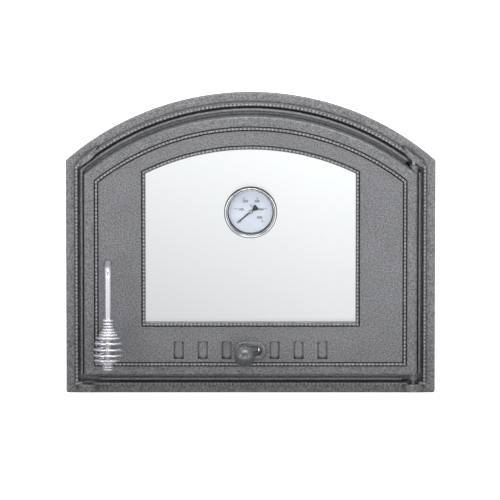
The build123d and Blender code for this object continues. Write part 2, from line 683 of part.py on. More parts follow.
def make_bezel():
    """Bright rolled ring that clasps the lens to the case."""
    outer = BEZEL_DIAMETER / 2
    clasp = CASE_DIAMETER / 2 + CONTACT_GAP
    lens = CASE_DIAMETER / 2 - CONTACT_GAP
    inner = BEZEL_INNER_DIAMETER / 2
    lens_front = LENS_BACK + LENS_THICK
    back = CASE_BACK + BEZEL_BACK_GAP
    return turned_gauge([(clasp, back), (outer, back), (outer, BEZEL_FACE - BEZEL_ROLL),
                         (outer - BEZEL_ROLL, BEZEL_FACE), (inner + BEZEL_EDGE, BEZEL_FACE),
                         (inner, BEZEL_FACE - BEZEL_EDGE),
                         (inner, lens_front + CONTACT_GAP), (clasp, lens_front + CONTACT_GAP),
                         (clasp, lens_front), (clasp, LENS_BACK)])


def make_lens():
    """Flat watch glass of the gauge."""
    return rod_y(0, GAUGE_Z, CASE_DIAMETER, LENS_BACK, LENS_BACK + LENS_THICK)


def make_dial():
    """Dial plate inside the case."""
    diameter = CASE_DIAMETER - 2 * CASE_WALL - 2 * DIAL_CLEARANCE
    plate = rod_y(0, GAUGE_Z, diameter, DIAL_DEPTH - DIAL_THICK, DIAL_DEPTH)
    return plate - rod_y(0, GAUGE_Z, STEM_BASE_HOLE, DIAL_DEPTH - OVERCUT, DIAL_DEPTH + OVERCUT)


def make_dial_seat():
    """Turned collar that carries the dial on the case's floor."""
    floor = CASE_BACK + CASE_WALL
    seat = rod_y(0, GAUGE_Z, 3 * STEM_BASE_HOLE, floor, DIAL_DEPTH - DIAL_THICK)
    return seat - rod_y(0, GAUGE_Z, STEM_BASE_HOLE, floor - OVERCUT, DIAL_DEPTH)


def make_pointer():
    """Pointer blade with its flared tail and hub, at the start of the scale."""
    half = POINTER_WIDTH / 2
    tail = POINTER_TAIL_WIDTH / 2
    blade = Polyline((POINTER_LENGTH, 0), (0, half), (-POINTER_TAIL / 2, half), (-POINTER_TAIL, tail),
                     (-POINTER_TAIL, -tail), (-POINTER_TAIL / 2, -half), (0, -half), close=True)
    face = make_face(blade) + Circle(POINTER_HUB_DIAMETER / 2)
    face = Plane.XZ * Pos(0, GAUGE_Z) * Rot(0, 0, POINTER_REST_ANGLE) * face
    back = DIAL_DEPTH + POINTER_LIFT
    blade = slab(face, back, back + POINTER_THICK)
    return blade - rod_y(0, GAUGE_Z, SPINDLE_DIAMETER, back - OVERCUT, back + POINTER_THICK + OVERCUT)


def stem_tip():
    """Depth of the closed end of the stem."""
    return CASE_BACK - STEM_LENGTH


def make_spindle():
    """Thin shaft from the bimetal coil to the pointer."""
    front = DIAL_DEPTH + POINTER_LIFT + POINTER_THICK + SPINDLE_TIP
    return rod_y(0, GAUGE_Z, SPINDLE_DIAMETER, stem_tip() + 2 * STEM_WALL, front)


def make_bimetal():
    """Bimetal coil that turns the spindle with the oven's heat."""
    height = STEM_LENGTH / 3
    start = stem_tip() + 2 * STEM_WALL
    path = Helix(BIMETAL_PITCH, height, BIMETAL_RADIUS)
    section = (path ^ 0) * Rectangle(BIMETAL_STRIP, BIMETAL_STRIP)
    coil = sweep(section, path=path, is_frenet=True)
    return Pos(0, -start, GAUGE_Z) * Rot(90, 0, 0) * coil


def make_stem():
    """Closed stem tube that reaches through the glass into the oven."""
    radius = STEM_DIAMETER / 2
    bore = radius - STEM_WALL
    hole = STEM_BASE_HOLE / 2
    tip = stem_tip()
    base = CASE_BACK - STEM_BASE_THICK
    return turned_gauge([(0, tip), (radius - STEM_CHAMFER, tip), (radius, tip + STEM_CHAMFER),
                         (radius, CASE_BACK), (hole, CASE_BACK), (hole, base),
                         (bore, base - STEM_CHAMFER), (bore, tip + STEM_WALL), (0, tip + STEM_WALL)])


def gauge_washer(back):
    """Fibre washer on the gauge's stem."""
    disc = rod_y(0, GAUGE_Z, GAUGE_WASHER_DIAMETER, back, back + GAUGE_WASHER_THICK)
    return disc - rod_y(0, GAUGE_Z, STEM_DIAMETER, back - OVERCUT, back + GAUGE_WASHER_THICK + OVERCUT)


def make_gauge_nut():
    """Nut that clamps the gauge to the pane from behind."""
    front = GLASS_BACK - GAUGE_WASHER_THICK
    return hex_nut(0, GAUGE_Z, GAUGE_NUT_FLATS, STEM_DIAMETER, front - GAUGE_NUT_HEIGHT, front)


def tongue_front():
    """Depth of the latch tongue's front face, clear behind the frame's seat."""
    return SEAT_BACK - TONGUE_GAP


def rod_back():
    """Depth of the handle rod's hidden end."""
    return tongue_front() - TONGUE_THICK - LATCH_NUT_HEIGHT - ROD_TAIL


def make_rod():
    """Bright rod through the leaf, bent down at the front to carry the grip."""
    route = FilletPolyline((0, 0, 0), (0, -(ROD_REACH - rod_back()), 0),
                           (0, -(ROD_REACH - rod_back()), -ROD_DROP), radius=ROD_BEND)
    section = Plane.XZ * Circle(ROD_DIAMETER / 2)
    bar = sweep(section, path=route)
    return Pos(HANDLE_X, -rod_back(), HANDLE_Z) * bar


def grip_points():
    """Middle of the grip's wire, a few points to a turn, from the rod outwards and back."""
    points = []
    turns = len(GRIP_TURN_DROPS) - 1
    for step in range(GRIP_TURN_POINTS * turns + 1):
        turn = min(step // GRIP_TURN_POINTS, turns - 1)
        share = step / GRIP_TURN_POINTS - turn
        drop = GRIP_TURN_DROPS[turn] * (1 - share) + GRIP_TURN_DROPS[turn + 1] * share
        radius = GRIP_TURN_RADII[turn] * (1 - share) + GRIP_TURN_RADII[turn + 1] * share
        angle = 2 * math.pi * step / GRIP_TURN_POINTS
        points.append((radius * math.cos(angle), radius * math.sin(angle), -drop))
    return points


def make_grip():
    """Egg-shaped coil of wire around the rod's lower end."""
    path = Spline(*grip_points())
    section = (path ^ 0) * RegularPolygon(GRIP_WIRE / 2, GRIP_WIRE_SIDES)
    coil = sweep(section, path=path, is_frenet=True)
    return Pos(HANDLE_X, -ROD_REACH, GRIP_TOP) * coil


def make_latch_washer():
    """Washer between the leaf's boss and the tongue."""
    front = LATCH_BOSS_BACK - CONTACT_GAP
    back = front - LATCH_WASHER_THICK
    disc = rod_y(HANDLE_X, HANDLE_Z, LATCH_WASHER_DIAMETER, back, front)
    return disc - rod_y(HANDLE_X, HANDLE_Z, ROD_DIAMETER, back - OVERCUT, front + OVERCUT)


def make_tongue():
    """Latch tongue on the rod, upright at rest and clear of the frame."""
    front = tongue_front()
    back = front - TONGUE_THICK
    reach = TONGUE_LENGTH - TONGUE_WIDTH / 2
    bar = box(HANDLE_X - TONGUE_WIDTH / 2, HANDLE_X + TONGUE_WIDTH / 2, back, front,
              HANDLE_Z, HANDLE_Z + reach)
    bar += rod_y(HANDLE_X, HANDLE_Z, TONGUE_WIDTH, back, front)
    bar += rod_y(HANDLE_X, HANDLE_Z + reach, TONGUE_WIDTH, back, front)
    washer_back = LATCH_BOSS_BACK - CONTACT_GAP - LATCH_WASHER_THICK
    bar += rod_y(HANDLE_X, HANDLE_Z, TONGUE_COLLAR_DIAMETER, front, washer_back)
    return bar - rod_y(HANDLE_X, HANDLE_Z, ROD_DIAMETER, back - OVERCUT, washer_back + OVERCUT)


def make_latch_nut():
    """Nut that holds the tongue on the rod."""
    front = tongue_front() - TONGUE_THICK
    return hex_nut(HANDLE_X, HANDLE_Z, LATCH_NUT_FLATS, ROD_DIAMETER, front - LATCH_NUT_HEIGHT, front)


def make_parts():
    """Every piece of the door by its name."""
    lower_pin, upper_pin = make_hinge_pins()
    return {
        "frame": make_frame(),
        "door_leaf": make_door_leaf(),
        "hinge_pin_lower": lower_pin,
        "hinge_pin_upper": upper_pin,
        "glass_pane": make_glass(),
        "glass_gasket": make_gasket(),
        "glass_clips": make_clips(),
        "clip_screws": make_clip_screws(),
        "air_slide": make_slide(),
        "slide_rail_lower": make_rail("lower"),
        "slide_rail_upper": make_rail("upper"),
        "rail_screws": make_rail_screws(),
        "slide_knob": make_knob(),
        "knob_washer": make_knob_washer(),
        "knob_screw": make_knob_screw(),
        "gauge_case": make_gauge_case(),
        "gauge_bezel": make_bezel(),
        "gauge_lens": make_lens(),
        "gauge_dial": make_dial(),
        "dial_seat": make_dial_seat(),
        "gauge_pointer": make_pointer(),
        "gauge_spindle": make_spindle(),
        "bimetal_coil": make_bimetal(),
        "gauge_stem": make_stem(),
        "gauge_washer_front": gauge_washer(GLASS_FRONT),
        "gauge_washer_rear": gauge_washer(GLASS_BACK - GAUGE_WASHER_THICK),
        "gauge_nut": make_gauge_nut(),
        "handle_rod": make_rod(),
        "handle_grip": make_grip(),
        "latch_washer": make_latch_washer(),
        "latch_tongue": make_tongue(),
        "latch_nut": make_latch_nut(),
    }


def write_parts():
    """Move each piece to the origin at the flange's back face and write it."""
    to_origin = Pos(0, -FLANGE_THICK, -HALF_HEIGHT)
    os.makedirs("parts", exist_ok=True)
    for name, shape in make_parts().items():
        shapes = shape if isinstance(shape, list) else [shape]
        solids = [to_origin * solid for item in shapes for solid in item.solids()]
        node = Compound(children=solids) if len(solids) > 1 else solids[0]
        export_step(node, f"parts/{name}.step")


write_parts()
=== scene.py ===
import math
import random

import bmesh
import bpy
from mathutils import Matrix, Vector


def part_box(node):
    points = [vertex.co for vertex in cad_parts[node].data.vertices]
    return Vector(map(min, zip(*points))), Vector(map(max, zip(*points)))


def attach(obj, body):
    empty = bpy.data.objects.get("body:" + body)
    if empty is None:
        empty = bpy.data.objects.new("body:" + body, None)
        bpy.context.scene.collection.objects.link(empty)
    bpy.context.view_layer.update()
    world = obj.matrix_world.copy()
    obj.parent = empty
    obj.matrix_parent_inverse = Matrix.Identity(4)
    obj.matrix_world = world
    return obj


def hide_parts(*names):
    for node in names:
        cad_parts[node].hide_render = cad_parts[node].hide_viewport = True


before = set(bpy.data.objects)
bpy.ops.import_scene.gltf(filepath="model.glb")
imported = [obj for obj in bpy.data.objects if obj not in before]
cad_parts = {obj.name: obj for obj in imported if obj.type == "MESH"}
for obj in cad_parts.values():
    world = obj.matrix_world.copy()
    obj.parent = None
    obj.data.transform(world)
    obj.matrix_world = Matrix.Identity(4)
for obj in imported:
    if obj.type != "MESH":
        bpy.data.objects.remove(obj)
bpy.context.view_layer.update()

bl_info = {
    "name": "Arched oven door",
    "version": (1, 0, 0),
    "blender": (4, 5, 0),
    "location": "3D View > Sidebar > Oven door",
    "description": "Beads, wire grip, dial print and finishes of a cast iron oven door",
    "category": "Object",
}

MM = 0.001
FRAME_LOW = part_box("frame")[0]
FLANGE_FRONT = 5 * MM

# Arched lines of the bead rows in mm: half width, lowest line, crown and radius of the arch
FRAME_BEAD_LINE = (228.5, 14.0, 396.0, 348.0)
DOOR_BEAD_LINES = {"panel": (202.6, 43.9, 366.1, 321.8), "window": (140.4, 98.6, 340.5, 308.7)}
# The hinge lugs break the frame's row between these distances from the middle in mm, below the
# first height and above the second
LUG_SPAN = (199.0, 228.4)
LUG_HEIGHTS = (15.0, 300.0)
# Part of a bead's radius kept behind its middle, the range of sizes and of squeeze, the size of the
# door's beads beside the frame's, and how far the dark strip of painted shade lies in front of the beads'
# middle
BEAD_BACK = 0.45
BEAD_SIZES = (0.93, 1.04)
BEAD_SQUEEZE = (0.96, 1.04)
DOOR_BEAD_SHARE = 0.92
SHADE_STRIP_LIFT = 0.06 * MM

# Which CAD pieces wear which finish
FINISH_NODES = {
    "frame_iron": ("frame",),
    "door_iron": ("door_leaf",),
    "plate_steel": ("air_slide", "slide_rail_lower", "slide_rail_upper", "glass_clips"),
    "zinc_steel": ("hinge_pin_lower", "hinge_pin_upper", "clip_screws", "rail_screws", "knob_washer",
                   "knob_screw", "gauge_case", "gauge_stem", "gauge_spindle", "latch_washer",
                   "latch_tongue", "latch_nut"),
    "nickel": ("handle_rod",),
    "brass": ("gauge_nut", "dial_seat", "bimetal_coil"),
    "pane_glass": ("glass_pane",),
    "watch_glass": ("gauge_lens",),
    "glass_rope": ("glass_gasket",),
    "fibre": ("gauge_washer_front", "gauge_washer_rear"),
    "dial_white": ("gauge_dial",),
}


def length_property(name, description, default):
    """A size in metres that the sidebar shows as a length."""
    return bpy.props.FloatProperty(name=name, description=description, default=default,
                                   unit="LENGTH", subtype="DISTANCE", precision=5)


def colour_property(name, description, default):
    """A linear colour for the sidebar."""
    return bpy.props.FloatVectorProperty(name=name, description=description, default=default,
                                         size=3, min=0.0, max=1.0, subtype="COLOR")


class OvenDoorSizes(bpy.types.PropertyGroup):
    """Sizes of what the scene adds to the CAD pieces"""
    bead_diameter: length_property("Bead diameter", "Width of one cast bead", 3.2 * MM)
    bead_pitch: length_property("Bead pitch", "Distance from bead to bead", 5.2 * MM)
    frame_bead_front: length_property("Frame bead depth", "How far the frame's bead line stands out",
                                      7.7 * MM)
    door_bead_front: length_property("Door bead depth", "How far the door's bead lines stand out",
                                     18.7 * MM)
    grip_wire: length_property("Grip wire", "Thickness of the grip's wire", 3.3 * MM)
    numeral_height: length_property("Numeral height", "Height of the dial's numbers", 4.9 * MM)
    tick_inner: length_property("Tick start", "Radius where the long ticks start", 18.3 * MM)
    tick_outer: length_property("Tick end", "Radius where the ticks end", 21.4 * MM)


class OvenDoorColours(bpy.types.PropertyGroup):
    """Main colours of the door"""
    frame_iron: colour_property("Frame iron", "Oiled grey iron of the frame", (0.23, 0.23, 0.239))
    door_iron: colour_property("Door iron", "Oiled grey iron of the door", (0.208, 0.21, 0.222))
    knob_iron: colour_property("Knob iron", "Smoother iron of the knob", (0.16, 0.163, 0.166))
    # Rubbed iron of the beads, lightened further as a painted highlight
    bead_iron_and_highlight: colour_property("Bead iron", "Rubbed iron of the bead rows, lightened as painted highlight", (0.4, 0.4, 0.415))
    # Painted shade: the colour laid into gaps, grooves and corners where shade falls
    painted_shade: colour_property("Recess shade", "Painted shade in gaps and grooves", (0.012, 0.012, 0.014))
    # Rubbed iron on edges, partly a painted highlight
    rubbed_edge_and_highlight: colour_property("Bare edge and highlight", "Rubbed iron on edges, partly painted highlight", (0.62, 0.62, 0.64))
    nickel: colour_property("Nickel", "Plating of the rod and grip", (0.86, 0.86, 0.91))
    dial: colour_property("Dial", "Enamel of the dial", (0.43, 0.475, 0.53))
    dial_ink: colour_property("Dial print", "Ink of the numbers and ticks", (0.03, 0.033, 0.042))
    glass: colour_property("Glass", "Tint of the pane", (0.84, 0.86, 0.865))


class OvenDoorStage(bpy.types.PropertyGroup):
    """Camera and lights"""
    elevation: bpy.props.FloatProperty(name="Camera height", description="Angle above the door's face",
                                       default=math.radians(16.46), subtype="ANGLE")
    distance: length_property("Camera distance", "From the camera to the door", 20.0)
    key_power: bpy.props.FloatProperty(name="Key lights", description="Power of each soft box",
                                       default=9.0, unit="POWER")
    sky: bpy.props.FloatProperty(name="Sky light", description="Strength of the even light",
                                 default=0.36)


def place(x, depth, height):
    """Point from mm across, in front of the flange's face and above its lower edge."""
    return Vector((x * MM, -(FLANGE_FRONT + depth * MM), FRAME_LOW.z + height * MM))


def arch_line(half_width, bottom, crown, radius, steps=160):
    """Closed line of an arched outline in mm, as points across and up."""
    centre = crown - radius
    shoulder = centre + math.sqrt(radius ** 2 - half_width ** 2)
    line = [(-half_width, bottom), (half_width, bottom), (half_width, shoulder)]
    reach = math.asin(half_width / radius)
    for step in range(1, steps):
        turn = reach - 2 * reach * step / steps
        line.append((radius * math.sin(turn), centre + radius * math.cos(turn)))
    line.append((-half_width, shoulder))
    return line


def even_points(line, pitch):
    """Evenly spaced points along a closed line, near a pitch."""
    corners = [Vector(p) for p in line] + [Vector(line[0])]
    runs = [(b - a).length for a, b in zip(corners, corners[1:])]
    count = round(sum(runs) / pitch)
    gap = sum(runs) / count
    points, index, start = [], 0, 0.0
    for step in range(count):
        along = step * gap
        while along > start + runs[index]:
            start += runs[index]
            index += 1
        share = (along - start) / runs[index]
        points.append(corners[index].lerp(corners[index + 1], share))
    return points


def bead_dome(radius):
    """Vertices and faces of one rounded bead, open at the back."""
    shape = bmesh.new()
    bmesh.ops.create_icosphere(shape, subdivisions=3, radius=radius)
    hidden = [v for v in shape.verts if v.co.y > BEAD_BACK * radius]
    bmesh.ops.delete(shape, geom=hidden, context="VERTS")
    shape.verts.index_update()
    points = [v.co.copy() for v in shape.verts]
    faces = [[v.index for v in f.verts] for f in shape.faces]
    shape.free()
    return points, faces


def bead_row(name, places, radius, seed):
    """One mesh of cast beads, each a little different in size."""
    rough = random.Random(seed)
    dome, dome_faces = bead_dome(radius)
    points, faces = [], []
    for centre in places:
        size = rough.uniform(*BEAD_SIZES)
        squeeze = Vector((rough.uniform(*BEAD_SQUEEZE) * size, size, rough.uniform(*BEAD_SQUEEZE) * size))
        first = len(points)
        points += [centre + v * squeeze for v in dome]
        faces += [[first + i for i in face] for face in dome_faces]
    return new_piece(name, points, faces)


def new_piece(name, points, faces):
    """A smooth mesh object from points and faces."""
    mesh = bpy.data.meshes.new(name)
    mesh.from_pydata(points, [], faces)
    mesh.polygons.foreach_set("use_smooth", [True] * len(mesh.polygons))
    piece = bpy.data.objects.new(name, mesh)
    bpy.context.scene.collection.objects.link(piece)
    return piece


def wear(piece, name, body):
    """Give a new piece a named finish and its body."""
    piece.data.materials.clear()
    piece.data.materials.append(finish(name))
    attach(piece, body)


def node_at(tree, kind, spot, **settings):
    """Add a shader node at a place, with its settings."""
    node = tree.nodes.new(kind)
    node.location = spot
    for key, value in settings.items():
        setattr(node, key, value)
    return node


def noise(tree, spot, scale, detail=2.0, roughness=0.5):
    """Noise texture on the object's own coordinates."""
    where = node_at(tree, "ShaderNodeTexCoord", (spot[0] - 180, spot[1]))
    node = node_at(tree, "ShaderNodeTexNoise", spot)
    node.inputs["Scale"].default_value = scale
    node.inputs["Detail"].default_value = detail
    node.inputs["Roughness"].default_value = roughness
    tree.links.new(where.outputs["Object"], node.inputs["Vector"])
    return node


def sums(tree, spot, operation, first, second):
    """Math node on two sockets or numbers."""
    node = node_at(tree, "ShaderNodeMath", spot, operation=operation)
    for socket, value in zip(node.inputs, (first, second)):
        if isinstance(value, (int, float)):
            socket.default_value = value
        else:
            tree.links.new(value, socket)
    return node.outputs["Value"]


def spread(tree, spot, value, low, high, to_low, to_high):
    """Map a value from one range to another, held at the ends."""
    node = node_at(tree, "ShaderNodeMapRange", spot)
    tree.links.new(value, node.inputs["Value"])
    ends = (("From Min", low), ("From Max", high), ("To Min", to_low), ("To Max", to_high))
    for key, number in ends:
        if isinstance(number, (int, float)):
            node.inputs[key].default_value = number
        else:
            tree.links.new(number, node.inputs[key])
    return node.outputs["Result"]


def blend(tree, spot, share, first, second, mode="MIX"):
    """Mix two colours."""
    node = node_at(tree, "ShaderNodeMix", spot, data_type="RGBA", blend_type=mode)
    for socket, value in ((node.inputs[0], share), (node.inputs[6], first), (node.inputs[7], second)):
        if isinstance(value, (int, float)):
            socket.default_value = value
        elif isinstance(value, (tuple, list)):
            socket.default_value = (*value[:3], 1.0)
        else:
            tree.links.new(value, socket)
    return node.outputs[2]


def shaded(tree, spot, colour, value):
    """A colour made darker or lighter by a value."""
    grey = node_at(tree, "ShaderNodeCombineColor", (spot[0] - 180, spot[1] - 60))
    for channel in grey.inputs:
        tree.links.new(value, channel)
    return blend(tree, spot, 1.0, colour, grey.outputs["Color"], "MULTIPLY")


def new_group(name, inputs, outputs):
    """Empty shader group with named inputs and outputs."""
    group = bpy.data.node_groups.new(name, "ShaderNodeTree")
    for label, kind, default in inputs:
        socket = group.interface.new_socket(name=label, in_out="INPUT", socket_type=kind)
        socket.default_value = default
    for label, kind in outputs:
        group.interface.new_socket(name=label, in_out="OUTPUT", socket_type=kind)
    start = node_at(group, "NodeGroupInput", (-900, 0))
    end = node_at(group, "NodeGroupOutput", (900, 0))
    return group, start.outputs, end.inputs


def sand_grain_group():
    """Speckle, pits and slow mottling of a sand casting."""
    group, given, result = new_group(
        "sand_grain",
        [("Colour", "NodeSocketColor", (0.2, 0.2, 0.2, 1)), ("Speckle", "NodeSocketFloat", 0.3)],
        [("Colour", "NodeSocketColor"), ("Roughness", "NodeSocketFloat"), ("Height", "NodeSocketFloat")])
    fine = noise(group, (-600, 300), 520.0, 4.0, 0.75)
    broad = noise(group, (-600, 60), 26.0, 3.0, 0.6)
    pits = noise(group, (-600, -180), 330.0, 2.0, 0.5)
    speckle = spread(group, (-380, 300), fine.outputs["Fac"], 0.36, 0.64, 0.0, 1.0)
    low = sums(group, (-380, 500), "SUBTRACT", 1.0, given["Speckle"])
    high = sums(group, (-380, 640), "ADD", 1.0, given["Speckle"])
    light = spread(group, (-180, 400), speckle, 0.0, 1.0, low, high)
    cloud = spread(group, (-380, 60), broad.outputs["Fac"], 0.3, 0.7, 0.93, 1.07)
    shade = sums(group, (20, 300), "MULTIPLY", light, cloud)
    group.links.new(shaded(group, (380, 200), given["Colour"], shade), result["Colour"])
    rough = spread(group, (20, -60), fine.outputs["Fac"], 0.3, 0.7, 0.37, 0.54)
    group.links.new(rough, result["Roughness"])
    dips = spread(group, (-380, -180), pits.outputs["Fac"], 0.34, 0.5, 0.0, 1.0)
    height = sums(group, (20, -220), "ADD", speckle, dips)
    group.links.new(height, result["Height"])
    return group


def edge_wear_and_highlight_group():
    """Mask of worn outer edges, partly a painted highlight, and the softened normal that goes with it."""
    group, given, result = new_group(
        "edge_wear_and_highlight", [("Radius", "NodeSocketFloat", 0.0006), ("Amount", "NodeSocketFloat", 1.0)],
        [("Mask", "NodeSocketFloat"), ("Normal", "NodeSocketVector")])
    bevel = node_at(group, "ShaderNodeBevel", (-500, 100), samples=4)
    group.links.new(given["Radius"], bevel.inputs["Radius"])
    flat = node_at(group, "ShaderNodeNewGeometry", (-500, -100))
    match = node_at(group, "ShaderNodeVectorMath", (-280, 0), operation="DOT_PRODUCT")
    group.links.new(bevel.outputs["Normal"], match.inputs[0])
    group.links.new(flat.outputs["Normal"], match.inputs[1])
    edge = spread(group, (-80, 0), match.outputs["Value"], 0.98, 0.75, 0.0, 1.0)
    patch = noise(group, (-280, -320), 160.0, 3.0, 0.6)
    broken = spread(group, (-80, -300), patch.outputs["Fac"], 0.35, 0.6, 0.25, 1.0)
    mask = sums(group, (140, -100), "MULTIPLY", edge, broken)
    mask = sums(group, (320, -100), "MULTIPLY", mask, given["Amount"])
    group.links.new(mask, result["Mask"])
    group.links.new(bevel.outputs["Normal"], result["Normal"])
    return group


def recess_group():
    """Mask of painted shade, 1 deep in gaps, grooves and corners, and weaker on faces that look up, as if
    lit from above.
    """
    group, given, result = new_group(
        "recess", [("Reach", "NodeSocketFloat", 0.006), ("Dark at", "NodeSocketFloat", 0.3),
                   ("Clear at", "NodeSocketFloat", 0.75)],
        [("Mask", "NodeSocketFloat")])
    open_sky = node_at(group, "ShaderNodeAmbientOcclusion", (-400, 0), samples=8)
    group.links.new(given["Reach"], open_sky.inputs["Distance"])
    mask = spread(group, (-100, 0), open_sky.outputs["AO"], given["Dark at"], given["Clear at"], 1.0, 0.0)
    facing = node_at(group, "ShaderNodeNewGeometry", (-400, -220))
    split = node_at(group, "ShaderNodeSeparateXYZ", (-220, -220))
    group.links.new(facing.outputs["Normal"], split.inputs["Vector"])
    upward = spread(group, (-60, -220), split.outputs["Z"], 0.3, 0.8, 1.0, 0.25)
    mask = sums(group, (120, 0), "MULTIPLY", mask, upward)
    group.links.new(mask, result["Mask"])
    return group


def brushed_group():
    """Fine streaks along one axis for plated and turned metal."""
    group, given, result = new_group(
        "fine_streaks",
        [("Colour", "NodeSocketColor", (0.8, 0.8, 0.8, 1)), ("Streaks", "NodeSocketVector", (1, 1, 1)),
         ("Low", "NodeSocketFloat", 0.15), ("High", "NodeSocketFloat", 0.3)],
        [("Colour", "NodeSocketColor"), ("Roughness", "NodeSocketFloat"), ("Height", "NodeSocketFloat")])
    where = node_at(group, "ShaderNodeTexCoord", (-760, 160))
    stretch = node_at(group, "ShaderNodeVectorMath", (-580, 160), operation="MULTIPLY")
    group.links.new(where.outputs["Object"], stretch.inputs[0])
    group.links.new(given["Streaks"], stretch.inputs[1])
    lines = node_at(group, "ShaderNodeTexNoise", (-400, 160))
    lines.inputs["Scale"].default_value = 900.0
    lines.inputs["Detail"].default_value = 4.0
    group.links.new(stretch.outputs["Vector"], lines.inputs["Vector"])
    stain = noise(group, (-400, -160), 60.0, 3.0, 0.6)
    tone = spread(group, (-180, 160), lines.outputs["Fac"], 0.3, 0.7, 0.9, 1.04)
    group.links.new(shaded(group, (220, 160), given["Colour"], tone), result["Colour"])
    rough = spread(group, (20, -160), stain.outputs["Fac"], 0.3, 0.7, given["Low"], given["High"])
    group.links.new(rough, result["Roughness"])
    group.links.new(lines.outputs["Fac"], result["Height"])
    return group


def new_finish(name):
    """Material with an empty Principled surface, its tree and its shader."""
    material = bpy.data.materials.new(name)
    material.use_nodes = True
    tree = material.node_tree
    shader = tree.nodes["Principled BSDF"]
    tree.nodes["Material Output"].location = (700, 0)
    shader.location = (400, 0)
    return material, tree, shader


def use_group(tree, group, spot, **values):
    """Place a shared effect in a material with this material's own values."""
    node = node_at(tree, "ShaderNodeGroup", spot, node_tree=group)
    for key, value in values.items():
        node.inputs[key.replace("_", " ")].default_value = value
    return node


def bump(tree, spot, height, strength, distance, normal=None):
    """Bump node on a height, over a softened normal."""
    node = node_at(tree, "ShaderNodeBump", spot)
    node.inputs["Strength"].default_value = strength
    node.inputs["Distance"].default_value = distance
    tree.links.new(height, node.inputs["Height"])
    if normal is not None:
        tree.links.new(normal, node.inputs["Normal"])
    return node.outputs["Normal"]


def rgba(colour):
    """Four numbers for a colour socket."""
    return (colour[0], colour[1], colour[2], 1.0)


def iron_finish(name, groups, colours, colour, speckle, shine, edge, reach):
    """Sand cast iron: grain, painted shade in recesses, and rubbed edges that are partly a painted
    highlight.
    """
    material, tree, shader = new_finish(name)
    grain = use_group(tree, groups["grain"], (-600, 200), Colour=rgba(colour), Speckle=speckle)
    rub_and_highlight = use_group(tree, groups["edge"], (-600, -100), Radius=0.0009, Amount=edge)
    gap = use_group(tree, groups["recess"], (-600, -300), Reach=reach, Dark_at=0.42, Clear_at=0.84)
    # Rubbed edges lightened, partly as a painted highlight
    rubbed_and_highlit = blend(tree, (-300, 200), rub_and_highlight.outputs["Mask"], grain.outputs["Colour"],
                 tuple(colours.rubbed_edge_and_highlight))
    # Painted shade darkens the recesses
    dark = blend(tree, (-80, 200), gap.outputs["Mask"], rubbed_and_highlit, tuple(colours.painted_shade))
    tree.links.new(dark, shader.inputs["Base Color"])
    rough = sums(tree, (-80, 0), "ADD", grain.outputs["Roughness"], shine)
    tree.links.new(rough, shader.inputs["Roughness"])
    shader.inputs["Metallic"].default_value = 0.35
    normal = bump(tree, (120, -250), grain.outputs["Height"], 0.35, 0.00022, rub_and_highlight.outputs["Normal"])
    tree.links.new(normal, shader.inputs["Normal"])
    return material


def metal_finish(name, groups, colour, streaks, low, high, crease_shade, metallic):
    """Plated or turned metal with fine streaks and painted shade in its creases."""
    material, tree, shader = new_finish(name)
    lines = use_group(tree, groups["streaks"], (-500, 100), Colour=rgba(colour), Streaks=streaks, Low=low,
                      High=high)
    rub_and_highlight = use_group(tree, groups["edge"], (-500, -200), Radius=0.0002, Amount=0.0)
    tint = lines.outputs["Colour"]
    # Painted shade in the creases
    if crease_shade:
        gap = use_group(tree, groups["recess"], (-500, -400), Reach=0.0018, Dark_at=0.45, Clear_at=0.85)
        share = sums(tree, (-280, -400), "MULTIPLY", gap.outputs["Mask"], crease_shade)
        tint = blend(tree, (0, 200), share, tint, (0.02, 0.02, 0.025))
    tree.links.new(tint, shader.inputs["Base Color"])
    tree.links.new(lines.outputs["Roughness"], shader.inputs["Roughness"])
    shader.inputs["Metallic"].default_value = metallic
    normal = bump(tree, (120, -250), lines.outputs["Height"], 0.12, 0.00002, rub_and_highlight.outputs["Normal"])
    tree.links.new(normal, shader.inputs["Normal"])
    return material


def painted_finish(name, colour, scale, fade, low, high, depth):
    """Paint or enamel with a faint orange peel and slow colour drift."""
    material, tree, shader = new_finish(name)
    peel = noise(tree, (-500, 200), scale, 3.0)
    drift = noise(tree, (-500, -50), 45.0, 2.0)
    tone = spread(tree, (-280, -50), drift.outputs["Fac"], 0.3, 0.7, 1.0 - fade, 1.0)
    tree.links.new(shaded(tree, (120, 100), tuple(colour), tone), shader.inputs["Base Color"])
    rough = spread(tree, (-80, 250), peel.outputs["Fac"], 0.3, 0.7, low, high)
    tree.links.new(rough, shader.inputs["Roughness"])
    tree.links.new(bump(tree, (120, -250), peel.outputs["Fac"], 0.3, depth), shader.inputs["Normal"])
    return material


def woven_finish(name, colour, shade, thread):
    """Woven or pressed fibre with crossing threads."""
    material, tree, shader = new_finish(name)
    where = node_at(tree, "ShaderNodeTexCoord", (-900, 0))
    heights = []
    for offset, direction in ((150, "DIAGONAL"), (-150, "X")):
        wave = node_at(tree, "ShaderNodeTexWave", (-700, offset), bands_direction=direction)
        wave.inputs["Scale"].default_value = thread
        wave.inputs["Distortion"].default_value = 1.5
        tree.links.new(where.outputs["Object"], wave.inputs["Vector"])
        heights.append(wave.outputs["Fac"])
    weave = sums(tree, (-480, 0), "MULTIPLY", *heights)
    fuzz = noise(tree, (-700, -400), 1400.0, 2.0)
    both = sums(tree, (-280, -100), "MULTIPLY", weave, fuzz.outputs["Fac"])
    share = spread(tree, (-80, 0), both, 0.0, 0.35, 0.0, 1.0)
    tree.links.new(blend(tree, (120, 100), share, shade, colour), shader.inputs["Base Color"])
    shader.inputs["Roughness"].default_value = 0.9
    tree.links.new(bump(tree, (120, -250), both, 0.6, 0.0002), shader.inputs["Normal"])
    return material


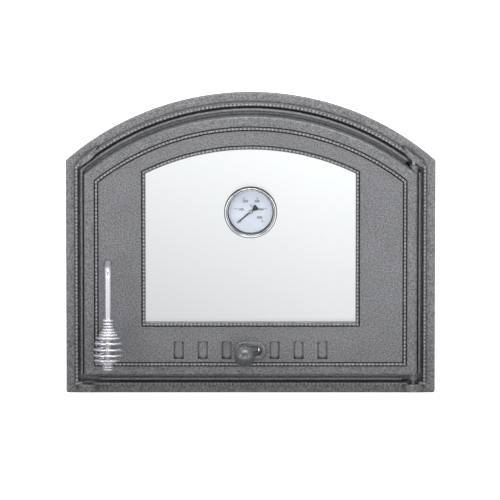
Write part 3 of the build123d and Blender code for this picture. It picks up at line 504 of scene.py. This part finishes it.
def glass_finish(name, colour, haze, bend):
    """Clear glass with faint smears, which lets lamp light through."""
    material, tree, shader = new_finish(name)
    smear = noise(tree, (-500, 100), 30.0, 3.0)
    rough = spread(tree, (-280, 100), smear.outputs["Fac"], 0.35, 0.75, 0.0, haze)
    tree.links.new(rough, shader.inputs["Roughness"])
    shader.inputs["Base Color"].default_value = rgba(colour)
    shader.inputs["Transmission Weight"].default_value = 1.0
    shader.inputs["IOR"].default_value = bend
    clear = node_at(tree, "ShaderNodeBsdfTransparent", (400, 250))
    clear.inputs["Color"].default_value = rgba(colour)
    path = node_at(tree, "ShaderNodeLightPath", (400, 600))
    mixed = node_at(tree, "ShaderNodeMixShader", (600, 200))
    tree.links.new(path.outputs["Is Shadow Ray"], mixed.inputs["Fac"])
    tree.links.new(shader.outputs["BSDF"], mixed.inputs[1])
    tree.links.new(clear.outputs["BSDF"], mixed.inputs[2])
    tree.links.new(mixed.outputs["Shader"], tree.nodes["Material Output"].inputs["Surface"])
    return material


def make_finishes():
    """Every finish of the door by name."""
    colours = bpy.context.scene.oven_door_colours
    groups = {"grain": sand_grain_group(), "edge": edge_wear_and_highlight_group(), "recess": recess_group(),
              "streaks": brushed_group()}
    all_ways, down_rod = (1.0, 1.0, 1.0), (1.0, 1.0, 0.12)
    # Colour, speckle, added roughness, rubbed edges with painted highlight, reach of the painted recess
    # shade in metres
    irons = {
        "frame_iron": (colours.frame_iron, 0.62, 0.0, 0.9, 0.0032),
        "door_iron": (colours.door_iron, 0.58, 0.0, 0.9, 0.0032),
        # Bead iron is rubbed iron, lightened further as a painted highlight
        "bead_iron_and_highlight": (colours.bead_iron_and_highlight, 0.2, -0.1, 0.0, 0.0022),
        "knob_iron": (colours.knob_iron, 0.2, -0.27, 0.3, 0.0032),
        # Lightened as painted light, so the slide plate deep behind the vents looks as lit as the panel
        "plate_steel": ((0.34, 0.34, 0.355), 0.3, 0.0, 0.3, 0.005),
    }
    # Colour, stretch of the streaks, lowest and highest roughness, painted shade in the creases, metallic
    metals = {
        "zinc_steel": ((0.3, 0.3, 0.31), all_ways, 0.3, 0.45, 0.0, 1.0),
        "nickel": (colours.nickel, down_rod, 0.2, 0.3, 0.0, 0.72),
        "bezel_steel": ((0.9, 0.91, 0.93), all_ways, 0.16, 0.24, 0.2, 1.0),
        "brass": ((0.72, 0.56, 0.3), all_ways, 0.25, 0.4, 0.0, 1.0),
    }
    # Colour, scale of the peel, fading, lowest and highest roughness, depth of the peel in metres
    paints = {
        # Dark strip of painted shade under the bead rows
        "bead_bed": ((0.045, 0.045, 0.05), 700.0, 0.3, 0.5, 0.7, 0.0001),
        # Dark grey of the gauge's spacer, also painted shade on the bezel's side and groove
        "spacer_grey": ((0.045, 0.045, 0.05), 900.0, 0.1, 0.4, 0.5, 0.00002),
        "dial_white": (colours.dial, 900.0, 0.12, 0.35, 0.45, 0.00003),
        "dial_ink": (colours.dial_ink, 900.0, 0.1, 0.4, 0.5, 0.00001),
        "pointer_black": ((0.015, 0.015, 0.018), 700.0, 0.1, 0.4, 0.5, 0.00002),
    }
    # Tint, roughness of the smears, index of refraction
    glasses = {
        "pane_glass": (colours.glass, 0.02, 1.45),
        "watch_glass": ((0.97, 0.97, 0.98), 0.01, 1.12),
    }
    # Colour, shade between the threads, threads
    cloths = {
        "glass_rope": ((0.75, 0.74, 0.7), (0.45, 0.43, 0.4), 260.0),
        "fibre": ((0.45, 0.3, 0.2), (0.25, 0.16, 0.1), 500.0),
    }
    finishes = {name: iron_finish(name, groups, colours, *given) for name, given in irons.items()}
    finishes.update({name: metal_finish(name, groups, *given) for name, given in metals.items()})
    for make, kinds in ((painted_finish, paints), (glass_finish, glasses), (woven_finish, cloths)):
        finishes.update({name: make(name, *given) for name, given in kinds.items()})
    return finishes


def finish(name):
    """A finish that the finishes operator has made."""
    material = bpy.data.materials.get(name)
    if material is None:
        raise RuntimeError(f"finish {name} isn't made yet")
    return material


class OVENDOOR_OT_finishes(bpy.types.Operator):
    """Make every finish and put it on the CAD pieces"""
    bl_idname = "ovendoor.finishes"
    bl_label = "Finishes"

    def execute(self, context):
        finishes = make_finishes()
        for name, nodes in FINISH_NODES.items():
            for node in nodes:
                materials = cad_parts[node].data.materials
                materials.clear()
                materials.append(finishes[name])
        return {"FINISHED"}


def bead_bed(name, places, width):
    """Flat strip of painted shade under a row of beads, broken where the row is."""
    points, faces = [], []
    for first, second in zip(places, places[1:]):
        along = second - first
        if along.length > 3 * width:
            continue
        side = Vector((-along.z, 0, along.x)).normalized() * width / 2
        lift = Vector((0, -SHADE_STRIP_LIFT, 0))
        count = len(points)
        points += [end + lift for end in (first - side, second - side, second + side, first + side)]
        faces.append([count, count + 1, count + 2, count + 3])
    return new_piece(name, points, faces)


class OVENDOOR_OT_frame_beads(bpy.types.Operator):
    """Cast beads on the frame's rib, broken at the four hinge lugs"""
    bl_idname = "ovendoor.frame_beads"
    bl_label = "Frame beads"

    def execute(self, context):
        sizes = context.scene.oven_door_sizes
        line = arch_line(*FRAME_BEAD_LINE)
        depth = sizes.frame_bead_front / MM
        near, far = LUG_SPAN
        low, high = LUG_HEIGHTS
        places = [place(x, depth, z) for x, z in even_points(line, sizes.bead_pitch / MM)
                  if not (near < abs(x) < far and (z < low or z > high))]
        beads = bead_row("frame_beads", places, sizes.bead_diameter / 2, 3)
        wear(beads, "bead_iron_and_highlight", "frame_body")
        # A dark strip of painted shade under the frame's beads
        shade_strip = bead_bed("frame_bead_shade_strip", places, sizes.bead_diameter)
        wear(shade_strip, "bead_bed", "frame_body")
        return {"FINISHED"}


class OVENDOOR_OT_door_beads(bpy.types.Operator):
    """Cast beads round the panel and round the window"""
    bl_idname = "ovendoor.door_beads"
    bl_label = "Door beads"

    def execute(self, context):
        sizes = context.scene.oven_door_sizes
        depth = sizes.door_bead_front / MM
        width = DOOR_BEAD_SHARE * sizes.bead_diameter
        for seed, (name, outline) in enumerate(DOOR_BEAD_LINES.items(), start=10):
            points = even_points(arch_line(*outline), sizes.bead_pitch / MM)
            places = [place(x, depth, z) for x, z in points]
            beads = bead_row(f"{name}_beads", places, width / 2, seed)
            wear(beads, "bead_iron_and_highlight", "door_body")
            # A dark strip of painted shade under the door's beads
            shade_strip = bead_bed(f"{name}_bead_bed", places, width)
            wear(shade_strip, "bead_bed", "door_body")
        return {"FINISHED"}


# The grip in mm: its axis across and in front, the slope of a turn, the least inner radius, the
# pitch of the two ends, points a turn, and the height and radius of each turn from the top down
GRIP_CENTRE = (-187.3, 50.0)
GRIP_LEAN = 0.24
GRIP_INNER = 4.1
GRIP_END_PITCH = 3.0
GRIP_STEPS = 32
GRIP_HEIGHTS = (113.4, 109.0, 105.1, 101.1, 97.4, 93.8, 89.4, 82.2, 73.5, 65.6, 58.9, 55.9, 53.4, 49.9,
                46.6)
GRIP_RADII = (5.6, 5.6, 5.7, 6.8, 9.1, 10.9, 13.7, 16.6, 17.4, 17.6, 16.4, 9.6, 6.8, 5.7, 5.6)


def curve_value(values, along):
    """Smooth value along a list, by a curve through its neighbours."""
    index = min(int(along), len(values) - 2)
    share = along - index
    a, b, c, d = [values[max(0, min(len(values) - 1, index + k))] for k in (-1, 0, 1, 2)]
    curve = 2 * a - 5 * b + 4 * c - d + share * (3 * (b - c) + d - a)
    return b + 0.5 * share * (c - a + share * curve)


def level_share(along):
    """Turn number that stays level round the front and moves on behind the rod."""
    whole = round(along)
    return whole + 0.5 * (2 * (along - whole)) ** 5


class OVENDOOR_OT_grip(bpy.types.Operator):
    """Egg-shaped coil of bright wire on the handle rod"""
    bl_idname = "ovendoor.grip"
    bl_label = "Wire grip"

    def execute(self, context):
        wire = context.scene.oven_door_sizes.grip_wire
        line = bpy.data.curves.new("wire_grip", "CURVE")
        line.dimensions = "3D"
        line.bevel_depth = wire / 2
        line.bevel_resolution = 5
        line.use_fill_caps = True
        turns = len(GRIP_HEIGHTS)
        spline = line.splines.new("POLY")
        spline.points.add(turns * GRIP_STEPS)
        x, depth = GRIP_CENTRE
        for step, point in enumerate(spline.points):
            along = step / GRIP_STEPS - 0.5
            angle = 2 * math.pi * along
            held = min(max(along, 0.0), turns - 1.0)
            radius = max(GRIP_INNER + wire / 2 / MM, curve_value(GRIP_RADII, held))
            ahead = radius * math.cos(angle)
            height = curve_value(GRIP_HEIGHTS, level_share(held))
            height += GRIP_END_PITCH * (held - along) + GRIP_LEAN * ahead
            point.co = (*place(x + radius * math.sin(angle), depth + ahead, height), 1.0)
        grip = bpy.data.objects.new("wire_grip", line)
        context.scene.collection.objects.link(grip)
        wear(grip, "nickel", "handle_body")
        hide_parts("handle_grip")
        return {"FINISHED"}


# The gauge's middle in mm, the scale's start and step in degrees, the widths of a tick at both ends
# and the short ticks' length in mm, the print's lift and boldness in mm, and the unit's size beside
# the numbers; then each number with its place across and up from the middle
GAUGE_CENTRE = (0.0, 252.0)
SCALE_START = 220.0
SCALE_STEP = 52.0
SCALE_STEPS = 5
TICKS_A_STEP = 10
LONG_TICK_WIDTHS = (0.5, 1.3)
SHORT_TICK_WIDTHS = (0.12, 0.12)
SHORT_TICK = 1.1
PRINT_LIFT = 0.05
NUMERAL_BOLDNESS = 0.11
UNIT_SHARE = 0.85
DIAL_NUMBERS = (("0", -13.6, -13.4), ("100", -12.9, 3.0), ("200", -7.0, 14.2), ("300", 8.2, 14.2),
                ("400", 13.6, 3.0), ("500", 11.6, -8.0), ("°C", 0.6, 8.0))


def dial_directions(angle):
    """The dial's middle, and the ways along and across a hand at an angle in degrees."""
    turn = math.radians(angle)
    along = Vector((math.cos(turn), 0, math.sin(turn)))
    side = Vector((-math.sin(turn), 0, math.cos(turn)))
    return place(GAUGE_CENTRE[0], 0, GAUGE_CENTRE[1]), along, side


def tick_corners(inner, outer, widths, angle, front):
    """Corners of one flat tapered tick on the dial."""
    middle, along, side = dial_directions(angle)
    middle.y = front
    narrow, wide = (side * width * MM / 2 for width in widths)
    near, far = middle + along * inner, middle + along * outer
    return [near - narrow, far - wide, far + wide, near + narrow]


class OVENDOOR_OT_dial(bpy.types.Operator):
    """Scale ticks and numbers printed on the dial"""
    bl_idname = "ovendoor.dial"
    bl_label = "Dial print"

    def execute(self, context):
        sizes = context.scene.oven_door_sizes
        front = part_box("gauge_dial")[0].y - PRINT_LIFT * MM
        points, faces = [], []
        for step in range(SCALE_STEPS * TICKS_A_STEP + 1):
            angle = SCALE_START - step * SCALE_STEP / TICKS_A_STEP
            inner, widths = sizes.tick_outer - SHORT_TICK * MM, SHORT_TICK_WIDTHS
            if step % TICKS_A_STEP == 0:
                inner, widths = sizes.tick_inner, LONG_TICK_WIDTHS
            first = len(points)
            points += tick_corners(inner, sizes.tick_outer, widths, angle, front)
            faces.append([first, first + 1, first + 2, first + 3])
        ticks = new_piece("dial_ticks", points, faces)
        wear(ticks, "dial_ink", "door_body")
        for index, (words, x, z) in enumerate(DIAL_NUMBERS):
            text = bpy.data.curves.new(f"dial_number_{index}", "FONT")
            text.body = words
            text.align_x = text.align_y = "CENTER"
            text.size = sizes.numeral_height * (1.0 if words.isdigit() else UNIT_SHARE)
            text.offset = NUMERAL_BOLDNESS * MM
            label = bpy.data.objects.new(f"dial_number_{index}", text)
            context.scene.collection.objects.link(label)
            label.rotation_euler = (math.pi / 2, 0, 0)
            spot = place(GAUGE_CENTRE[0] + x, 0, GAUGE_CENTRE[1] + z)
            label.location = (spot.x, front, spot.z)
            wear(label, "dial_ink", "door_body")
        return {"FINISHED"}


def lathe(name, profile, closed=True, steps=144, centre=GAUGE_CENTRE):
    """Turned piece about an axis from front to back, from radius and depth pairs in mm."""
    points, faces = [], []
    count = len(profile)
    for step in range(steps):
        turn = 2 * math.pi * step / steps
        across, up = math.cos(turn), math.sin(turn)
        points += [place(centre[0] + radius * across, depth, centre[1] + radius * up)
                   for radius, depth in profile]
        here, after = step * count, (step + 1) % steps * count
        for k in range(count if closed else count - 1):
            beside = (k + 1) % count
            faces.append([here + k, here + beside, after + beside, after + k])
    return new_piece(name, points, faces)


# Outlines of the gauge's rings as radius and depth in mm
BEZEL_PROFILE = ((32.1, 19.12), (33.75, 19.12), (33.75, 20.1), (33.45, 20.5), (32.8, 20.55), (32.3, 20.3),
                 (32.1, 19.8))
LIP_PROFILE = ((30.55, 19.12), (31.3, 19.12), (31.3, 19.75), (31.1, 19.98), (30.8, 19.95), (30.6, 19.65))
SIDE_PROFILE = ((32.15, 13.75), (34.3, 13.75), (34.75, 14.2), (34.75, 19.3), (34.45, 19.9), (33.7, 20.0),
                (33.7, 19.1), (32.15, 19.1))
GROOVE_PROFILE = ((31.2, 19.12), (32.2, 19.12), (32.2, 19.4), (31.2, 19.4))
SPACER_PROFILE = ((31.0, 18.0), (30.6, 18.0), (28.8, 14.06), (31.0, 14.06))


class OVENDOOR_OT_bezel(bpy.types.Operator):
    """Bright ring and lip, the side and groove darkened as painted shade, and the dark spacer behind the
    watch glass, partly painted shade
    """
    bl_idname = "ovendoor.bezel"
    bl_label = "Bezel"

    def execute(self, context):
        ring, lip = lathe("bezel_ring", BEZEL_PROFILE), lathe("bezel_lip", LIP_PROFILE)
        for piece in (ring, lip):
            wear(piece, "bezel_steel", "door_body")
        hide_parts("gauge_bezel")
        # The side and groove are dark grey as painted shade; the spacer is a dark ring, partly painted
        # shade
        for name, profile in (("bezel_side", SIDE_PROFILE), ("bezel_groove", GROOVE_PROFILE),
                              ("dial_spacer", SPACER_PROFILE)):
            wear(lathe(name, profile), "spacer_grey", "door_body")
        return {"FINISHED"}


# The knob in mm: axis, ball, radius where the ball leaves the neck, and the neck's outline
KNOB_PLACE = (-7.87, 62.7)
KNOB_RADIUS = 13.9
KNOB_DEPTH = 43.0
KNOB_MEET = 6.6
KNOB_STEPS = 24
KNOB_NECK = ((0.001, 11.75), (3.2, 11.75), (3.2, 14.7), (6.0, 14.7), (5.6, 20.0), (5.3, 26.0), (5.8, 29.4))


class OVENDOOR_OT_knob(bpy.types.Operator):
    """Cast ball knob on a waisted neck"""
    bl_idname = "ovendoor.knob"
    bl_label = "Knob"

    def execute(self, context):
        profile = list(KNOB_NECK)
        tip = KNOB_NECK[0][0]
        first = math.asin(KNOB_MEET / KNOB_RADIUS)
        for step in range(KNOB_STEPS + 1):
            turn = first + (math.pi - first) * step / KNOB_STEPS
            radius, back = KNOB_RADIUS * math.sin(turn), KNOB_RADIUS * math.cos(turn)
            profile.append((max(tip, radius), KNOB_DEPTH - back))
        knob = lathe("ball_knob", profile, closed=False, steps=72, centre=KNOB_PLACE)
        wear(knob, "knob_iron", "slide_body")
        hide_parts("slide_knob")
        return {"FINISHED"}


# The pointer's outline in mm along and across it, and the hub's as radius and height above it
POINTER_OUTLINE = ((22.5, -0.45), (22.5, 0.45), (2.0, 0.85), (-2.0, 0.85), (-3.4, 1.2), (-9.6, 4.3),
                   (-10.8, 3.2), (-11.0, 0.0), (-10.8, -3.2), (-9.6, -4.3), (-3.4, -1.2), (-2.0, -0.85),
                   (2.0, -0.85))
HUB_PROFILE = ((0.001, 0.9), (1.6, 0.85), (2.5, 0.4), (2.6, 0.0))


class OVENDOOR_OT_pointer(bpy.types.Operator):
    """Pointer blade with a fan tail, and its hub"""
    bl_idname = "ovendoor.pointer"
    bl_label = "Pointer"

    def execute(self, context):
        low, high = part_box("gauge_pointer")
        middle, along, side = dial_directions(SCALE_START)
        points = []
        for level in (high.y, low.y):
            middle.y = level
            points += [middle + along * a * MM + side * b * MM for a, b in POINTER_OUTLINE]
        count = len(POINTER_OUTLINE)
        faces = [list(range(count)), list(range(2 * count - 1, count - 1, -1))]
        faces += [[k, (k + 1) % count, count + (k + 1) % count, count + k] for k in range(count)]
        blade = new_piece("pointer_blade", points, faces)
        blade.data.polygons.foreach_set("use_smooth", [False] * len(faces))
        wear(blade, "pointer_black", "pointer_body")
        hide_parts("gauge_pointer")
        front = -(low.y + FLANGE_FRONT) / MM
        hub = lathe("pointer_hub", [(radius, front + rise) for radius, rise in HUB_PROFILE],
                    closed=False, steps=48)
        wear(hub, "zinc_steel", "pointer_body")
        return {"FINISHED"}


# The stage in metres: the middle of the dim strip in front of the handle, the floor's half width and
# its drop below the frame, the point the camera looks at, and the photo's width
HANDLE_ASIDE = -0.19
FLOOR_REACH = 14.0
FLOOR_DROP = 0.0004
CAMERA_TARGET = (-0.0008, -0.005, -0.0096)
VIEW_WIDTH = 500 * 1.3133 * MM
# Where each soft box stands, what it points at, its size and its share of the key power
SOFT_BOXES = {
    "soft_box_left": ((-1.5, -1.3, 0.3), (0, 0, 0), (0.5, 1.2), 0.9),
    "soft_box_right": ((1.5, -1.3, 0.3), (0, 0, 0), (0.5, 1.2), 0.65),
    "soft_box_above": ((0, -0.55, 1.5), (0, 0, 0.05), (1.6, 0.4), 1.9),
}
# The line that the card's edge draws on the pane in mm, then the card's distance, the length past
# the line's ends and the height in metres, and its glow
CARD_EDGE = ((-137.4, 276.3), (138.4, 129.8))
CARD_REACH = 1.2
CARD_MARGIN = 0.3
CARD_HEIGHT = 0.5
CARD_GLOW = 3.4


def floor_material():
    """Pale floor that looks white to the camera and keeps the shadow.

    Bright metal sees it dark close to the door, dim straight ahead of the handle and white at the
    sides. The pane shows it paler with the distance.
    """
    material = bpy.data.materials.new("pale_floor")
    material.use_nodes = True
    tree = material.node_tree
    tree.nodes.clear()
    out = node_at(tree, "ShaderNodeOutputMaterial", (600, 0))
    matt = node_at(tree, "ShaderNodeBsdfDiffuse", (0, 0))
    matt.inputs["Color"].default_value = (0.74, 0.74, 0.74, 1)
    glow = node_at(tree, "ShaderNodeEmission", (0, -200))
    glow.inputs["Color"].default_value = (1, 1, 1, 1)
    path = node_at(tree, "ShaderNodeLightPath", (-900, -300))
    where = node_at(tree, "ShaderNodeTexCoord", (-1100, 100))
    split = node_at(tree, "ShaderNodeSeparateXYZ", (-900, 100))
    tree.links.new(where.outputs["Object"], split.inputs["Vector"])
    aside = sums(tree, (-700, 200), "SUBTRACT", split.outputs["X"], HANDLE_ASIDE)
    aside = sums(tree, (-560, 200), "ABSOLUTE", aside, 0.0)
    side = spread(tree, (-400, 200), aside, 0.04, 0.3, 0.44, 1.25)
    ahead = spread(tree, (-400, 20), split.outputs["Y"], -0.1, -0.3, 0.1, 1.0)
    shine = sums(tree, (-220, 100), "MULTIPLY", side, ahead)
    shine = sums(tree, (-60, 100), "MULTIPLY", shine, path.outputs["Is Glossy Ray"])
    behind = spread(tree, (-400, -160), split.outputs["Y"], 0.3, 1.1, 0.74, 1.03)
    through = sums(tree, (-220, -100), "MULTIPLY", behind, path.outputs["Is Transmission Ray"])
    seen = sums(tree, (-220, -260), "MULTIPLY", path.outputs["Is Camera Ray"], 0.88)
    power = sums(tree, (-60, -100), "ADD", seen, through)
    power = sums(tree, (60, -100), "ADD", power, shine)
    tree.links.new(power, glow.inputs["Strength"])
    indirect = sums(tree, (60, -400), "MAXIMUM", path.outputs["Is Transmission Ray"],
                    path.outputs["Is Glossy Ray"])
    lit = node_at(tree, "ShaderNodeMixShader", (200, 100))
    tree.links.new(indirect, lit.inputs["Fac"])
    tree.links.new(matt.outputs["BSDF"], lit.inputs[1])
    both = node_at(tree, "ShaderNodeAddShader", (400, 0))
    tree.links.new(lit.outputs["Shader"], both.inputs[0])
    tree.links.new(glow.outputs["Emission"], both.inputs[1])
    tree.links.new(both.outputs["Shader"], out.inputs["Surface"])
    return material


def sky_world(strength):
    """Even sky, brighter above, and white wherever the camera or glass sees it."""
    world = bpy.data.worlds.new("soft_sky")
    world.use_nodes = True
    tree = world.node_tree
    tree.nodes.clear()
    out = node_at(tree, "ShaderNodeOutputWorld", (700, 0))
    where = node_at(tree, "ShaderNodeTexCoord", (-700, 0))
    split = node_at(tree, "ShaderNodeSeparateXYZ", (-520, 0))
    tree.links.new(where.outputs["Generated"], split.inputs["Vector"])
    lift = spread(tree, (-340, 0), split.outputs["Z"], -0.6, 0.8, 0.55 * strength, 1.35 * strength)
    path = node_at(tree, "ShaderNodeLightPath", (-520, -300))
    seen = sums(tree, (-300, -300), "MAXIMUM", path.outputs["Is Camera Ray"],
                path.outputs["Is Transmission Ray"])
    rest = sums(tree, (-120, -120), "SUBTRACT", 1.0, seen)
    ahead = spread(tree, (-340, 240), split.outputs["Y"], -1.0, -0.1, 0.35, 1.7)
    shine = blend(tree, (-120, 240), path.outputs["Is Glossy Ray"], (1.0, 1.0, 1.0), ahead)
    lift = sums(tree, (60, 160), "MULTIPLY", lift, shine)
    dim = sums(tree, (60, -60), "MULTIPLY", lift, rest)
    power = sums(tree, (240, -100), "ADD", dim, seen)
    back = node_at(tree, "ShaderNodeBackground", (440, 0))
    back.inputs["Color"].default_value = (1, 1, 1, 1)
    tree.links.new(power, back.inputs["Strength"])
    tree.links.new(back.outputs["Background"], out.inputs["Surface"])
    bpy.context.scene.world = world


def soft_box(name, spot, aim, size, power):
    """Oblong area lamp that points at a place."""
    lamp = bpy.data.lights.new(name, "AREA")
    lamp.shape = "RECTANGLE"
    lamp.size, lamp.size_y = size
    lamp.energy = power
    box = bpy.data.objects.new(name, lamp)
    bpy.context.scene.collection.objects.link(box)
    box.location = spot
    box.rotation_euler = (Vector(aim) - Vector(spot)).to_track_quat("-Z", "Y").to_euler()


def add_window_card(stage):
    """Bright card low in front, which the pane reflects above a slanting line."""
    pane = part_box("glass_pane")[0].y
    drop = CARD_REACH * math.tan(stage.elevation)
    ends = [Vector((x * MM, pane - CARD_REACH, FRAME_LOW.z + z * MM - drop)) for x, z in CARD_EDGE]
    along = (ends[1] - ends[0]).normalized()
    across = Vector((-along.z, 0, along.x))
    across *= 1 if across.z > 0 else -1
    low, high = ends[0] - along * CARD_MARGIN, ends[1] + along * CARD_MARGIN
    across *= CARD_HEIGHT
    card = new_piece("window_card", [low, high, high + across, low + across], [[0, 1, 2, 3]])
    material = bpy.data.materials.new("window_card")
    material.use_nodes = True
    tree = material.node_tree
    tree.nodes.clear()
    out = node_at(tree, "ShaderNodeOutputMaterial", (400, 0))
    glow = node_at(tree, "ShaderNodeEmission", (0, 0))
    glow.inputs["Strength"].default_value = CARD_GLOW
    tree.links.new(glow.outputs["Emission"], out.inputs["Surface"])
    card.data.materials.append(material)
    card.visible_camera = card.visible_diffuse = card.visible_transmission = card.visible_shadow = False


class OVENDOOR_OT_stage(bpy.types.Operator):
    """Pale floor, sky, soft boxes and the camera"""
    bl_idname = "ovendoor.stage"
    bl_label = "Stage"

    def execute(self, context):
        scene = context.scene
        stage = scene.oven_door_stage
        scene.view_settings.view_transform = "Standard"
        corners = [Vector((x * FLOOR_REACH, y * FLOOR_REACH, FRAME_LOW.z - FLOOR_DROP))
                   for x, y in ((-1, -1), (1, -1), (1, 1), (-1, 1))]
        floor = new_piece("floor", corners, [[0, 1, 2, 3]])
        floor.data.materials.append(floor_material())
        sky_world(stage.sky)
        for name, (spot, aim, size, share) in SOFT_BOXES.items():
            soft_box(name, spot, aim, size, share * stage.key_power)
        add_window_card(stage)
        lens = bpy.data.cameras.new("camera")
        lens.sensor_width = 36.0
        lens.lens = lens.sensor_width * stage.distance / VIEW_WIDTH
        lens.clip_start, lens.clip_end = 0.1, 100.0
        camera = bpy.data.objects.new("camera", lens)
        scene.collection.objects.link(camera)
        back = Vector((0, -math.cos(stage.elevation), math.sin(stage.elevation)))
        camera.location = Vector(CAMERA_TARGET) + back * stage.distance
        camera.rotation_euler = (-back).to_track_quat("-Z", "Y").to_euler()
        scene.camera = camera
        return {"FINISHED"}


class OVENDOOR_PT_panel(bpy.types.Panel):
    """Sizes, colours and steps of the oven door"""
    bl_idname = "OVENDOOR_PT_panel"
    bl_label = "Oven door"
    bl_space_type = "VIEW_3D"
    bl_region_type = "UI"
    bl_category = "Oven door"

    def draw(self, context):
        for title, group in (("Sizes", context.scene.oven_door_sizes),
                             ("Colours", context.scene.oven_door_colours),
                             ("Stage", context.scene.oven_door_stage)):
            box = self.layout.box()
            box.label(text=title)
            for key in group.__annotations__:
                box.prop(group, key)
        for step in STEPS:
            self.layout.operator(step.bl_idname)


STEPS = (OVENDOOR_OT_finishes, OVENDOOR_OT_frame_beads, OVENDOOR_OT_door_beads, OVENDOOR_OT_grip,
         OVENDOOR_OT_knob, OVENDOOR_OT_dial, OVENDOOR_OT_pointer, OVENDOOR_OT_bezel, OVENDOOR_OT_stage)
GROUPS = {"oven_door_sizes": OvenDoorSizes, "oven_door_colours": OvenDoorColours,
          "oven_door_stage": OvenDoorStage}


def register():
    """Make the add-on's groups, operators and panel known."""
    for item in (*GROUPS.values(), *STEPS, OVENDOOR_PT_panel):
        bpy.utils.register_class(item)
    for name, group in GROUPS.items():
        setattr(bpy.types.Scene, name, bpy.props.PointerProperty(type=group))


def unregister():
    """Take them away again."""
    for name in GROUPS:
        delattr(bpy.types.Scene, name)
    for item in (OVENDOOR_PT_panel, *reversed(STEPS), *GROUPS.values()):
        bpy.utils.unregister_class(item)


def main():
    """Register the add-on and run its steps in order."""
    register()
    for step in STEPS:
        group, name = step.bl_idname.split(".")
        getattr(getattr(bpy.ops, group), name)()
    bpy.context.view_layer.update()


if __name__ == "__main__":
    main()
